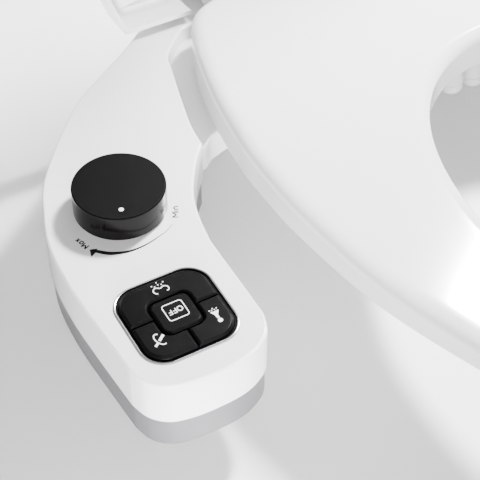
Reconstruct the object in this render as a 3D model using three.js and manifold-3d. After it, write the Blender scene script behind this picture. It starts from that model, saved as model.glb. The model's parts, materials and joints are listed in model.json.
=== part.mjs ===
// Water-powered bidet seat: low plate on the bowl rim, side control arm, seat ring and lid.
// Millimetres. Origin midway between the two seat bolts, on the face that rests on the bowl.
// +Z up, -Y towards the front of the bowl, -X towards the control arm.
import * as THREE from "three";
import { mergeVertices } from "three/addons/utils/BufferGeometryUtils.js";
import Module from "manifold-3d";

const wasm = await Module();
wasm.setup();

// Overall sizes.
const SEAT_WIDTH = 358;
const SEAT_LENGTH = 422;
const SEAT_REAR = 7;
const OPENING_WIDTH = 190;
const OPENING_LENGTH = 250;
const OPENING_REAR = 98;
const BOLT_SPACING = 150;
const ARM_WIDTH = 77.5;
const ARM_FRONT = 231.5;
const ARM_STANDOFF = 41.5;
const KNOB_DIAMETER = 50;
const KNOB_HEIGHT = 16.5;
const PAD_SIDE = 53.4;
const PAD_RADIUS = 14;

// Heights above the bowl rim.
const ARM_TOP = 28;
const DECK_DROP = 10;
const TRAY_DEPTH = 20.5;
const SEAT_UNDERSIDE = 21.5;
const SEAT_REAR_THICKNESS = 27.5;
const SEAT_FRONT_THICKNESS = 12;
const HINGE_HEIGHT = 40;
const HINGE_BEHIND = 13;

// Walls and clearances.
const WALL = 2.5;
const GAP = 0.3;
const RUNNING = 0.05;
const TRAY_INSET = 1;
const SEAT_WALL = 4;
const LID_WALL = 3;
const LID_GAP = 4;
const LID_SKIRT = 16;
const LID_OVERHANG = 14;
const LID_OPEN_DEG = 100;
const PIN_RADIUS = 3;
const BUTTON_GAP = 0.8;
const BUTTON_TRAVEL = 3;
const BUTTON_PROUD = 2;
const OFF_SIDE = 22;
const STEM_RADIUS = 3;
const NOZZLE_RADIUS = 7;
const NOZZLE_SPACE = 2;
const NOZZLE_PITCH = 2 * NOZZLE_RADIUS + NOZZLE_SPACE;
const NOZZLE_TILT_DEG = 15;
const HOSE_RADIUS = 2.5;
const FEED_RADIUS = 3.5;

// Places that follow from the sizes.
const HALF = SEAT_WIDTH / 2;
const DECK_TOP = ARM_TOP - DECK_DROP;
const ARM_INNER = -(HALF + ARM_STANDOFF);
const ARM_OUTER = ARM_INNER - ARM_WIDTH;
const PAD_X = (ARM_INNER + ARM_OUTER) / 2;
const PAD_Y = -ARM_FRONT + 41.5;
const KNOB_X = PAD_X + 8;
const KNOB_Y = PAD_Y + 80.3;
const HINGE_Y = SEAT_REAR + HINGE_BEHIND;
const SHELF_FRONT = SEAT_REAR + 4;
const SHELF_REAR = HINGE_Y + 32;
const ROOT_X = -(HALF + 11);
const DECK_FRONT = -62;
const TRAY_BOTTOM = -TRAY_DEPTH;
const SLOPE = (SEAT_REAR_THICKNESS - SEAT_FRONT_THICKNESS) / SEAT_LENGTH;
const LID_PITCH = Math.atan(SLOPE);
const STEM_SIDES = 16;

const root = new THREE.Group();
const v2 = (x, y) => new THREE.Vector2(x, y);

// Adds a named mesh of one solid in one colour.
function add(name, solid, color, roughness) {
  const mesh = solid.getMesh();
  const geometry = new THREE.BufferGeometry();
  const count = mesh.numProp;
  const flat = new Float32Array((mesh.vertProperties.length / count) * 3);
  for (let i = 0; i < flat.length / 3; i++) {
    flat[3 * i] = mesh.vertProperties[count * i];
    flat[3 * i + 1] = mesh.vertProperties[count * i + 1];
    flat[3 * i + 2] = mesh.vertProperties[count * i + 2];
  }
  geometry.setAttribute("position", new THREE.BufferAttribute(flat, 3));
  geometry.setIndex(new THREE.BufferAttribute(new Uint32Array(mesh.triVerts), 1));
  geometry.computeVertexNormals();
  const material = new THREE.MeshStandardMaterial({ color, roughness, flatShading: true });
  const object = new THREE.Mesh(geometry, material);
  object.name = name;
  root.add(object);
}

// Turns a three.js geometry into a solid for joining and cutting.
function solid(source) {
  const bare = source.clone();
  bare.deleteAttribute("normal");
  bare.deleteAttribute("uv");
  const merged = mergeVertices(bare, 1e-4);
  const index = merged.index.array;
  const kept = [];
  for (let i = 0; i < index.length; i += 3) {
    const [a, b, c] = [index[i], index[i + 1], index[i + 2]];
    if (a !== b && b !== c && a !== c) kept.push(a, b, c);
  }
  return new wasm.Manifold(
    new wasm.Mesh({
      numProp: 3,
      vertProperties: new Float32Array(merged.attributes.position.array),
      triVerts: new Uint32Array(kept),
    }),
  );
}

// Closed body through a pile of outlines, each with as many points and a height.
function stack(levels) {
  const n = levels[0][0].length;
  const positions = [];
  const index = [];
  for (const [points, z] of levels)
    for (const p of points) positions.push(p.x, p.y, typeof z === "function" ? z(p) : z);
  for (let l = 0; l + 1 < levels.length; l++)
    for (let i = 0; i < n; i++) {
      const a = l * n + i;
      const b = l * n + ((i + 1) % n);
      index.push(a, b, b + n, a, b + n, a + n);
    }
  for (const [a, b, c] of THREE.ShapeUtils.triangulateShape(levels[0][0], []))
    index.push(c, b, a);
  const top = (levels.length - 1) * n;
  for (const [a, b, c] of THREE.ShapeUtils.triangulateShape(levels[levels.length - 1][0], []))
    index.push(top + a, top + b, top + c);
  const geometry = new THREE.BufferGeometry();
  geometry.setAttribute("position", new THREE.Float32BufferAttribute(positions, 3));
  geometry.setIndex(index);
  return geometry;
}

// Moves every point of a counter-clockwise outline inwards by d, or outwards when d is negative.
function inset(points, d) {
  const n = points.length;
  const normals = points.map((p, i) => {
    const q = points[(i + 1) % n];
    const length = Math.hypot(q.x - p.x, q.y - p.y);
    return v2(-(q.y - p.y) / length, (q.x - p.x) / length);
  });
  return points.map((p, i) => {
    const a = normals[(i + n - 1) % n];
    const b = normals[i];
    const k = d / (1 + a.x * b.x + a.y * b.y);
    return v2(p.x + (a.x + b.x) * k, p.y + (a.y + b.y) * k);
  });
}

// Smooth curve through a few points, as spaced points.
function smooth(points, count) {
  return new THREE.SplineCurve(points.map(([x, y]) => v2(x, y))).getSpacedPoints(count);
}

// Joins pieces of an outline and drops doubled points.
function outline(...pieces) {
  const points = [];
  for (const p of pieces.flat()) {
    const last = points[points.length - 1];
    if (!last || last.distanceTo(p) > 0.05) points.push(p);
  }
  if (points[0].distanceTo(points[points.length - 1]) < 0.05) points.pop();
  if (THREE.ShapeUtils.area(points) < 0) points.reverse();
  return points;
}

function circle(x, y, r, n) {
  return Array.from({ length: n }, (_, i) => {
    const a = (2 * Math.PI * i) / n;
    return v2(x + r * Math.cos(a), y + r * Math.sin(a));
  });
}

function roundedRect(x, y, halfX, halfY, r, steps) {
  const points = [];
  const corners = [
    [halfX - r, halfY - r],
    [-halfX + r, halfY - r],
    [-halfX + r, -halfY + r],
    [halfX - r, -halfY + r],
  ];
  corners.forEach(([cx, cy], k) => {
    for (let i = 0; i <= steps; i++) {
      const a = (Math.PI / 2) * (k + i / steps);
      points.push(v2(x + cx + r * Math.cos(a), y + cy + r * Math.sin(a)));
    }
  });
  return points;
}

const prism = (points, z0, z1) => solid(stack([[points, z0], [points, z1]]));
const post = (x, y, r, z0, z1, n = 24) => prism(circle(x, y, r, n), z0, z1);
const box = (x0, x1, y0, y1, z0, z1) =>
  prism([v2(x0, y0), v2(x1, y0), v2(x1, y1), v2(x0, y1)], z0, z1);

// Prism with a chamfered top edge.
const chamfered = (points, z0, z1, c) =>
  solid(stack([[points, z0], [points, z1 - c], [inset(points, c), z1]]));

// Prism with a rounded top edge.
function domed(points, z0, z1, r, steps = 2) {
  const levels = [[points, z0]];
  for (let i = 0; i <= steps; i++) {
    const a = (Math.PI / 2) * (i / steps);
    levels.push([inset(points, r * (1 - Math.cos(a))), z1 - r + r * Math.sin(a)]);
  }
  return solid(stack(levels));
}

// Bar along X with a given outline in Y and Z about the hinge axis.
function barX(points, x0, x1) {
  const geometry = stack([[points, x0], [points, x1]]);
  const axes = new THREE.Matrix4().set(0, 0, 1, 0, 1, 0, 0, 0, 0, 1, 0, 0, 0, 0, 0, 1);
  return geometry.applyMatrix4(axes);
}

const atHinge = (geometry) => solid(geometry.translate(0, HINGE_Y, HINGE_HEIGHT));

// Rod along Y.
const rodY = (x, z, r, y0, y1, n = 12) =>
  solid(
    new THREE.CylinderGeometry(r, r, y1 - y0, n).translate(x, (y0 + y1) / 2, z),
  );

// Smooth path whose rings fall on its own points, so the end spans stay straight.
class Route extends THREE.CatmullRomCurve3 {
  getUtoTmapping(u) {
    return u;
  }
}

// Hose swept along a route, with so many rings to each span.
function hose(points, radius, bore, rings = 2) {
  const shape = new THREE.Shape(circle(0, 0, radius, 6));
  shape.holes.push(new THREE.Path(circle(0, 0, bore, 6)));
  const path = new Route(points.map((p) => new THREE.Vector3(...p)));
  const steps = rings * (points.length - 1);
  return solid(
    new THREE.ExtrudeGeometry(shape, { steps, extrudePath: path, bevelEnabled: false }),
  );
}

// Coil spring standing on z0, about a local Z axis.
class Helix extends THREE.Curve {
  constructor(radius, height, turns) {
    super();
    Object.assign(this, { radius, height, turns });
  }
  getPoint(t, target = new THREE.Vector3()) {
    const a = 2 * Math.PI * this.turns * t;
    return target.set(
      this.radius * Math.cos(a),
      this.radius * Math.sin(a),
      this.height * t,
    );
  }
}
function coil(radius, wire, height, turns) {
  const shape = new THREE.Shape(circle(0, 0, wire, 4));
  const path = new Helix(radius, height - 2 * wire, turns);
  return new THREE.ExtrudeGeometry(shape, {
    steps: turns * 8,
    extrudePath: path,
    bevelEnabled: false,
  }).translate(0, 0, wire);
}

// Raised panel of the arm and the shelf behind the seat, seen from above.
function panelOutline() {
  const outer = smooth(
    [
      [-140, SHELF_REAR],
      [ROOT_X + 22, SHELF_REAR - 24],
      [ARM_OUTER + 105, 8.5],
      [ARM_OUTER + 83, -6],
      [ARM_OUTER + 56, -26.5],
      [ARM_OUTER + 21, -68.5],
      [ARM_OUTER + 8.5, -95.5],
      [ARM_OUTER + 2, -118],
      [ARM_OUTER, -145],
      [ARM_OUTER + 1, 58.5 - ARM_FRONT],
      [ARM_OUTER + 3.5, 22 - ARM_FRONT],
    ],
    22,
  );
  const front = smooth(
    [
      [ARM_OUTER + 3.5, 22 - ARM_FRONT],
      [ARM_OUTER + 7, 11.5 - ARM_FRONT],
      [ARM_OUTER + 15, 3.8 - ARM_FRONT],
      [ARM_OUTER + 26.5, 0.7 - ARM_FRONT],
      [PAD_X + 1, -ARM_FRONT],
      [ARM_INNER - 23, 1.1 - ARM_FRONT],
      [ARM_INNER - 12, 5 - ARM_FRONT],
      [ARM_INNER - 4, 11.5 - ARM_FRONT],
      [ARM_INNER, 22 - ARM_FRONT],
    ],
    18,
  );
  const inner = smooth(
    [
      [ARM_INNER, -153],
      [ARM_INNER + 3.5, -133.5],
      [ARM_INNER + 9.5, -116],
      [ROOT_X - 8.5, -96],
      [ROOT_X, -86],
    ],
    9,
  );
  const side = smooth(
    [
      [ROOT_X, -86],
      [ROOT_X + 2.5, -66],
      [ROOT_X + 14.5, -20],
      [ROOT_X + 18, -9],
      [ROOT_X + 26, 0],
      [ROOT_X + 37, SHELF_FRONT - 2],
      [ROOT_X + 50, SHELF_FRONT],
    ],
    12,
  );
  const right = [
    v2(HALF - 2, SHELF_FRONT),
    v2(HALF + 6, SHELF_FRONT + 5),
    v2(HALF + 9, SHELF_FRONT + 14),
    v2(HALF + 5, SHELF_REAR - 10),
    v2(HALF - 8, SHELF_REAR),
  ];
  return outline(outer, front, inner, side, right);
}

// Low deck between the arm and the bowl's right-hand side, under the seat.
function deckOutline() {
  const front = smooth(
    [
      [ROOT_X - 3.5, -81.5],
      [ROOT_X + 6, -79],
      [ROOT_X + 15, -73],
      [-140, DECK_FRONT - 3],
      [-90, DECK_FRONT],
    ],
    10,
  );
  const right = smooth(
    [
      [90, DECK_FRONT],
      [HALF - 36, DECK_FRONT + 3],
      [HALF - 17, -46],
      [HALF - 12, -22],
      [HALF - 12, SHELF_FRONT + 8],
    ],
    10,
  );
  return outline(front, right, [v2(-150, SHELF_FRONT + 8), v2(ROOT_X, -10)]);
}

const PANEL = panelOutline();
const DECK = deckOutline();
const SCREWS = [
  { name: "arm_screw_outer", x: ARM_OUTER + 13, y: PAD_Y + 40, arm: true },
  { name: "arm_screw_root", x: ARM_OUTER + 52, y: -50, arm: true },
  { name: "deck_screw_left", x: -135, y: HINGE_Y + 12, arm: false },
  { name: "deck_screw_right", x: 135, y: HINGE_Y + 12, arm: false },
];
const padSquare = (d, steps = 6) =>
  roundedRect(PAD_X, PAD_Y, PAD_SIDE / 2 - d, PAD_SIDE / 2 - d, PAD_RADIUS - d, steps);
const NOTCH_HALF = NOZZLE_PITCH / 2 + NOZZLE_RADIUS + 1.5;

// White cover: one moulding with the raised panel, the shelf and the low deck.
function topCover() {
  let body = domed(PANEL, 0, ARM_TOP, 1.5).add(domed(DECK, 0, DECK_TOP, 1));
  body = body.subtract(prism(inset(PANEL, WALL), -1, ARM_TOP - WALL));
  body = body.subtract(prism(inset(DECK, WALL), -1, DECK_TOP - WALL));
  for (const { x, y, arm } of SCREWS) {
    const low = arm ? TRAY_BOTTOM + WALL + GAP : 3 + GAP;
    body = body.add(post(x, y, 4, low, ARM_TOP - WALL + 0.5, 16));
    body = body.subtract(post(x, y, 1.8, low - 1, low + 14, 12));
  }
  body = body.subtract(prism(padSquare(-GAP), ARM_TOP - WALL - 1, ARM_TOP + 1));
  body = body.subtract(post(KNOB_X, KNOB_Y, 6, ARM_TOP - WALL - 1, ARM_TOP + 1));
  return body.subtract(
    box(-NOTCH_HALF, NOTCH_HALF, DECK_FRONT - 20, DECK_FRONT + 11, -1, DECK_TOP - WALL),
  );
}
add("top_cover", topCover(), 0xf2f2f2, 0.2);

// Silver tray that closes the arm from below, pierced by the water inlet.
const INLET = { x: ROOT_X - 26, y: -22 };
const TRAY_EDGE = ROOT_X - 1;
function armTray() {
  const tray = (d, z0, z1, edge) =>
    prism(inset(PANEL, d), z0, z1).intersect(box(-400, edge, -400, 100, z0 - 1, z1 + 1));
  let body = tray(TRAY_INSET, TRAY_BOTTOM, -GAP, TRAY_EDGE);
  body = body.subtract(
    tray(TRAY_INSET + WALL, TRAY_BOTTOM + WALL, 1, TRAY_EDGE - WALL),
  );
  body = body.subtract(post(INLET.x, INLET.y, 7 + GAP, TRAY_BOTTOM - 1, 0));
  for (const { x, y, arm } of SCREWS)
    if (arm) body = body.subtract(post(x, y, 2, TRAY_BOTTOM - 1, 0, 16));
  return body;
}
add("arm_tray", armTray(), 0xb9b9bd, 0.35);

// Flat base on the bowl rim, with a pocket that slides over the mounting plate.
const PLATE_X = BOLT_SPACING / 2 + 25;
const PLATE_Y = 20;
function basePlate() {
  const fit = WALL + GAP;
  const cut = box(TRAY_EDGE + GAP, 400, -400, 400, -1, 20);
  let body = prism(inset(PANEL, fit), 0, 3).add(prism(inset(DECK, fit), 0, 3));
  body = body.intersect(cut);
  body = body.add(box(-PLATE_X - 4, PLATE_X + 4, -PLATE_Y - 4, SHELF_REAR - 4, 2, 10.5));
  body = body.subtract(
    box(-PLATE_X - 1, PLATE_X + 1, -PLATE_Y - 1, SHELF_REAR + 9, -1, 8),
  );
  body = body.subtract(
    box(-NOTCH_HALF, NOTCH_HALF, DECK_FRONT - 20, DECK_FRONT + 11, -1, 20),
  );
  for (const { x, y, arm } of SCREWS) {
    if (arm) continue;
    body = body.subtract(post(x, y, 2, -1, 5, 16));
    body = body.subtract(post(x, y, 4.3, -1, 2, 16));
  }
  return body;
}
add("base_plate", basePlate(), 0xd9d9d9, 0.5);

// Pan-head screws that hold the tray and the base to the cover's bosses.
for (const { name, x, y, arm } of SCREWS) {
  const seat = arm ? TRAY_BOTTOM - GAP : 2 - GAP;
  const low = arm ? seat - 2 : seat - 1.6;
  const body = post(x, y, 1.5, low + 0.5, seat + 13, 12).add(post(x, y, 3.6, low, seat, 16));
  add(name, body, 0x9a9a9a, 0.35);
}

// Mounting plate, two bolts, rubber bushings and wing nuts.
function mountingPlate() {
  let body = chamfered(roundedRect(0, 0, PLATE_X, PLATE_Y, 6, 3), 0, 4, 0.8);
  for (const side of [-1, 1])
    body = body.subtract(
      prism(roundedRect((side * BOLT_SPACING) / 2, 0, 4.5, 10, 4.4, 4), -1, 5),
    );
  return body;
}
add("mounting_plate", mountingPlate(), 0x8f9094, 0.5);
for (const [name, x] of [["left", BOLT_SPACING / 2], ["right", -BOLT_SPACING / 2]]) {
  const bolt = post(x, 0, 4, -50, 5).add(chamfered(circle(x, 0, 9, 24), 4 + GAP, 7.2, 0.8));
  add("bolt_" + name, bolt, 0xb0b0b0, 0.3);
  const cone = stack([[circle(x, 0, 9, 20), -34], [circle(x, 0, 12, 20), -22]]);
  const bushing = solid(cone).subtract(post(x, 0, 4 + GAP, -40, -20));
  add("bushing_" + name, bushing, 0x333333, 0.8);
  let nut = post(x, 0, 8, -42, -34 - GAP);
  for (const side of [-1, 1])
    nut = nut.add(
      chamfered(roundedRect(x + side * 12, 0, 7, 2, 1.6, 1), -44, -35, 0.8),
    );
  add("wing_nut_" + name, nut.subtract(post(x, 0, 4 + GAP, -50, -30)), 0xe6e6e6, 0.5);
}

// Control knob: hollow cup with a hub on the valve spindle, and a white marker dot.
const KNOB_BASE = ARM_TOP + 0.8;
const KNOB_TOP = ARM_TOP + KNOB_HEIGHT;
const DOT_ANGLE = (-111 * Math.PI) / 180;
const DOT_ARM = 0.716 * (KNOB_DIAMETER / 2);
const DOT = {
  x: KNOB_X + DOT_ARM * Math.cos(DOT_ANGLE),
  y: KNOB_Y + DOT_ARM * Math.sin(DOT_ANGLE),
};
function knob() {
  const r = KNOB_DIAMETER / 2;
  let body = chamfered(circle(KNOB_X, KNOB_Y, r, 48), KNOB_BASE, KNOB_TOP, 0.7);
  body = body.subtract(post(KNOB_X, KNOB_Y, r - 2, KNOB_BASE - 1, KNOB_TOP - WALL, 32));
  body = body.add(post(KNOB_X, KNOB_Y, 7.5, KNOB_BASE + 1, KNOB_TOP - 1));
  body = body.subtract(post(KNOB_X, KNOB_Y, 4 + GAP, KNOB_BASE, KNOB_TOP - 5));
  return body.subtract(post(DOT.x, DOT.y, 1.3 + GAP, KNOB_TOP - 0.8, KNOB_TOP + 1, 16));
}
add("control_knob", knob(), 0x1c1c1c, 0.35);
const marker = post(DOT.x, DOT.y, 1.3, KNOB_TOP - 0.6, KNOB_TOP + 0.1, 16);
add("knob_marker", marker, 0xffffff, 0.4);
add("valve_spindle", post(KNOB_X, KNOB_Y, 4, -3, KNOB_TOP - 5 - GAP), 0xb08d3c, 0.35);
const seal = post(KNOB_X, KNOB_Y, 6 - GAP, ARM_TOP - 2.2, ARM_TOP - GAP).subtract(
  post(KNOB_X, KNOB_Y, 4 + GAP, 0, 40),
);
add("spindle_seal", seal, 0x222222, 0.8);

// Pressure valve under the knob, with a barb at each side.
const BARB = 6;
function pressureValve() {
  let body = post(KNOB_X, KNOB_Y, 14, TRAY_BOTTOM + WALL + GAP, 10, 32);
  body = body.add(post(KNOB_X, KNOB_Y, 8, 9, ARM_TOP - WALL - GAP));
  body = body.add(rodY(KNOB_X, -8, 1.8, KNOB_Y - 14 - BARB, KNOB_Y + 14 + BARB));
  return body.subtract(post(KNOB_X, KNOB_Y, 4 + RUNNING, -5, 40));
}
add("pressure_valve", pressureValve(), 0xe0e0e0, 0.45);

// Push-button pad: bezel, well, four sprung buttons and the selector block under them.
const BUTTON_BASE = ARM_TOP - 7;
const WELL_FLOOR = BUTTON_BASE - BUTTON_TRAVEL - 2.5;
const bezel = chamfered(padSquare(0, 8), ARM_TOP - 4, ARM_TOP + 0.6, 0.25).subtract(
  prism(padSquare(1, 8), 0, 40),
);
add("pad_bezel", bezel, 0xc4c4c4, 0.15);
const RIM_MIDDLE = (PAD_SIDE / 2 - 2.6 + OFF_SIDE / 2 + BUTTON_GAP) / 2;
const STEMS = {
  rear_wash_button: v2(0, RIM_MIDDLE - 0.45),
  nozzle_clean_button: v2(1.95 - RIM_MIDDLE, 2.95 - RIM_MIDDLE),
  front_wash_button: v2(RIM_MIDDLE - 1.95, 2.95 - RIM_MIDDLE),
  off_button: v2(0, 0),
};
function padWell() {
  let body = prism(padSquare(1 + GAP), WELL_FLOOR - 1.5, ARM_TOP - 0.4);
  body = body.subtract(prism(padSquare(2.1), WELL_FLOOR, ARM_TOP + 5));
  for (const s of Object.values(STEMS))
    body = body.subtract(post(PAD_X + s.x, PAD_Y + s.y, STEM_RADIUS + GAP, 0, 40, STEM_SIDES));
  return body;
}
add("pad_well", padWell(), 0x0c0c0c, 0.6);

const OFF_SQUARE = roundedRect(PAD_X, PAD_Y, OFF_SIDE / 2, OFF_SIDE / 2, 4.5, 4);
const BUTTON_TOP = ARM_TOP + BUTTON_PROUD;
function button(name) {
  const s = STEMS[name];
  const stem = post(PAD_X + s.x, PAD_Y + s.y, STEM_RADIUS, 2, BUTTON_BASE + 1, STEM_SIDES);
  if (name === "off_button")
    return chamfered(OFF_SQUARE, BUTTON_BASE, BUTTON_TOP, 1).add(stem);
  const h = PAD_SIDE / 2;
  const g = BUTTON_GAP / 2;
  const split = 1;
  const cells = {
    rear_wash_button: [PAD_X - h, PAD_X + h, PAD_Y + split + g, PAD_Y + h + 2],
    nozzle_clean_button: [PAD_X - h, PAD_X + 0.5 - g, PAD_Y - h, PAD_Y + split - g],
    front_wash_button: [PAD_X + 0.5 + g, PAD_X + h, PAD_Y - h, PAD_Y + split - g],
  };
  const [x0, x1, y0, y1] = cells[name];
  const cell = [v2(x0, y0), v2(x1, y0), v2(x1, y1), v2(x0, y1)];
  const hole = inset(OFF_SQUARE, -BUTTON_GAP);
  let body = chamfered(padSquare(2.6), BUTTON_BASE, BUTTON_TOP, 1);
  body = body.intersect(chamfered(cell, BUTTON_BASE - 1, BUTTON_TOP, 1));
  body = body.subtract(
    solid(
      stack([
        [hole, BUTTON_BASE - 2],
        [hole, BUTTON_TOP - 1],
        [inset(hole, -1.5), BUTTON_TOP + 0.5],
      ]),
    ),
  );
  return body.add(stem);
}
for (const name of Object.keys(STEMS)) {
  const s = STEMS[name];
  add(name, button(name), 0x202020, 0.45);
  const spring = coil(4.1, 0.4, BUTTON_BASE - WELL_FLOOR - 0.4, 3);
  const placed = spring.translate(PAD_X + s.x, PAD_Y + s.y, WELL_FLOOR + 0.2);
  add(name.replace("_button", "_spring"), solid(placed), 0xb8b8b8, 0.3);
}

// Selector block: four stem bores, a feed barb and three outlet barbs on its rear face.
const BLOCK = 22;
const OUTLETS = [
  { name: "rear_wash_hose", x: 18, z: -13 },
  { name: "front_wash_hose", x: 18, z: -5 },
  { name: "nozzle_clean_hose", x: 18, z: 3 },
];
const FEED = { x: 0, z: -8 };
function selectorBlock() {
  let body = chamfered(
    roundedRect(PAD_X, PAD_Y, BLOCK, BLOCK, 3, 2), TRAY_BOTTOM + WALL + GAP, 8, 1);
  for (const s of Object.values(STEMS))
    body = body.subtract(
      post(PAD_X + s.x, PAD_Y + s.y, STEM_RADIUS + RUNNING, -8, 9, STEM_SIDES),
    );
  const rear = PAD_Y + BLOCK;
  body = body.add(rodY(PAD_X + FEED.x, FEED.z, 1.8, rear - 1, rear + BARB));
  for (const { x, z } of OUTLETS)
    body = body.add(rodY(PAD_X + x, z, 1.2, rear - 1, rear + BARB, 8));
  return body;
}
add("selector_block", selectorBlock(), 0x6f7276, 0.5);

// Threaded inlet under the arm's root, with a barb for the feed hose.
function inletNipple() {
  const seat = TRAY_BOTTOM - GAP;
  let body = chamfered(circle(INLET.x, INLET.y, 10.4, 32), seat - 18, seat - 2, 0.1);
  body = body.add(prism(circle(INLET.x, INLET.y, 13, 6), seat - 5, seat));
  body = body.add(post(INLET.x, INLET.y, 7, seat - 1, TRAY_BOTTOM + WALL + 2));
  body = body.add(post(INLET.x, INLET.y, 1.8, seat, TRAY_BOTTOM + WALL + 2 + BARB, 12));
  return body.subtract(post(INLET.x, INLET.y, 6.5, seat - 19, seat - 6));
}
add("inlet_nipple", inletNipple(), 0xb08d3c, 0.3);

// Hoses: feed, link and the three lines to the nozzle housing.
const NOZZLE_BACK = DECK_FRONT - 3 + NOZZLE_RADIUS + 1;
const feedEnd = KNOB_Y + 14 + GAP;
const inletTop = TRAY_BOTTOM + WALL + 2 + GAP;
add(
  "feed_hose",
  hose(
    [
      [INLET.x, INLET.y, inletTop],
      [INLET.x, INLET.y, inletTop + 6],
      [INLET.x, INLET.y, inletTop + 11],
      [INLET.x - 5, INLET.y - 12, inletTop + 18],
      [KNOB_X + 10, feedEnd + 32, -2],
      [KNOB_X, feedEnd + 15, -8],
      [KNOB_X, feedEnd + 8, -8],
      [KNOB_X, feedEnd, -8],
    ],
    FEED_RADIUS,
    2.4,
  ),
  0xe4e4e0,
  0.4,
);
add(
  "link_hose",
  hose(
    [
      [PAD_X + FEED.x, PAD_Y + BLOCK + GAP, FEED.z],
      [PAD_X + FEED.x, PAD_Y + BLOCK + 6, FEED.z],
      [PAD_X + FEED.x, PAD_Y + BLOCK + 11, FEED.z],
      [KNOB_X, KNOB_Y - 14 - 11, -8],
      [KNOB_X, KNOB_Y - 14 - 6, -8],
      [KNOB_X, KNOB_Y - 14 - GAP, -8],
    ],
    FEED_RADIUS,
    2.4,
  ),
  0xe4e4e0,
  0.4,
);
OUTLETS.forEach(({ name, x, z }, i) => {
  const lane = -41 + 6 * i;
  const end = [-NOZZLE_PITCH / 2, 0, NOZZLE_PITCH / 2][i];
  const path = [
    [PAD_X + x, PAD_Y + BLOCK + GAP, z],
    [PAD_X + x, PAD_Y + BLOCK + 6, z],
    [PAD_X + x, PAD_Y + BLOCK + 11, z],
    [ARM_INNER - 11, -130, z],
    [ROOT_X - 31 - i, -98, z],
    [ROOT_X - 14 - 7 * i, -72, z / 2 + 5],
    [ROOT_X + 4 - 3 * i, -58 + 7.5 * i, 9],
    [ROOT_X + 24, lane, 9],
    [-110, lane, 9],
    [end - 15, lane, 9],
    [end - 4, lane - 2.5, 9],
    [end, lane - 8, 9],
    [end, NOZZLE_BACK + 5, 9],
    [end, NOZZLE_BACK + GAP, 9],
  ];
  add(name, hose(path, HOSE_RADIUS, 1.6), 0xe4e4e0, 0.4);
});

// Nozzle unit: a twin-tube housing, and in each tube a rod with a spring and a spray tip.
const TUBE_LENGTH = 27;
const TUBE_TOP = { y: DECK_FRONT - 3, z: DECK_TOP - WALL - 2.2 };
const tilt = (geometry, x) =>
  geometry
    .rotateX((-NOZZLE_TILT_DEG * Math.PI) / 180)
    .translate(x, TUBE_TOP.y, TUBE_TOP.z);
const tube = (x, r, z0, z1, n = 20) =>
  solid(tilt(stack([[circle(0, 0, r, n), z0], [circle(0, 0, r, n), z1]]), x));
const TUBE_OUTER = NOZZLE_RADIUS + 0.6;
const BORE = NOZZLE_RADIUS - 1.5;
function nozzleHousing() {
  const block = NOZZLE_PITCH / 2 + NOZZLE_RADIUS;
  let body = box(-block, block, TUBE_TOP.y, NOZZLE_BACK, 1, DECK_TOP - WALL - GAP);
  for (const side of [-1, 1])
    body = body.add(tube((side * NOZZLE_PITCH) / 2, TUBE_OUTER, -TUBE_LENGTH, 0));
  for (const x of [-NOZZLE_PITCH / 2, 0, NOZZLE_PITCH / 2])
    body = body.add(rodY(x, 9, 1.2, NOZZLE_BACK - 1, NOZZLE_BACK + 5, 8));
  for (const side of [-1, 1]) {
    const x = (side * NOZZLE_PITCH) / 2;
    body = body.subtract(tube(x, BORE + RUNNING, -TUBE_LENGTH + 2.5, -2));
    body = body.subtract(tube(x, STEM_RADIUS + RUNNING, -TUBE_LENGTH - 1, -TUBE_LENGTH + 3));
  }
  return body;
}
add("nozzle_housing", nozzleHousing(), 0xdedede, 0.35);
for (const [name, x] of [
  ["rear_nozzle", -NOZZLE_PITCH / 2],
  ["front_nozzle", NOZZLE_PITCH / 2],
]) {
  const rod = tube(x, BORE, -6.5, -2.6).add(tube(x, STEM_RADIUS, -TUBE_LENGTH - 4, -5));
  add(name + "_rod", rod, 0xc9c9c9, 0.35);
  const low = TUBE_LENGTH + 7.5;
  const levels = [[circle(0, 0, NOZZLE_RADIUS, 20), -TUBE_LENGTH - GAP]];
  for (let i = 0; i <= 3; i++) {
    const a = (Math.PI / 2) * (i / 3.6);
    levels.unshift([
      circle(0, 0, NOZZLE_RADIUS * Math.cos(a), 20),
      -low + 5 - 5 * Math.sin(a),
    ]);
  }
  let tip = solid(tilt(stack(levels), x));
  tip = tip.subtract(tube(x, STEM_RADIUS + GAP, -TUBE_LENGTH - 4 - GAP, -TUBE_LENGTH + 1));
  add(name + "_tip", tip, 0xf0f0f0, 0.3);
  const spring = coil(4.35, 0.45, TUBE_LENGTH - 2.5 - 6.5 - 0.8, 4);
  const placed = tilt(spring.translate(0, 0, -TUBE_LENGTH + 2.5 + 0.4), x);
  add(name + "_spring", solid(placed), 0xb8b8b8, 0.3);
}

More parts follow.
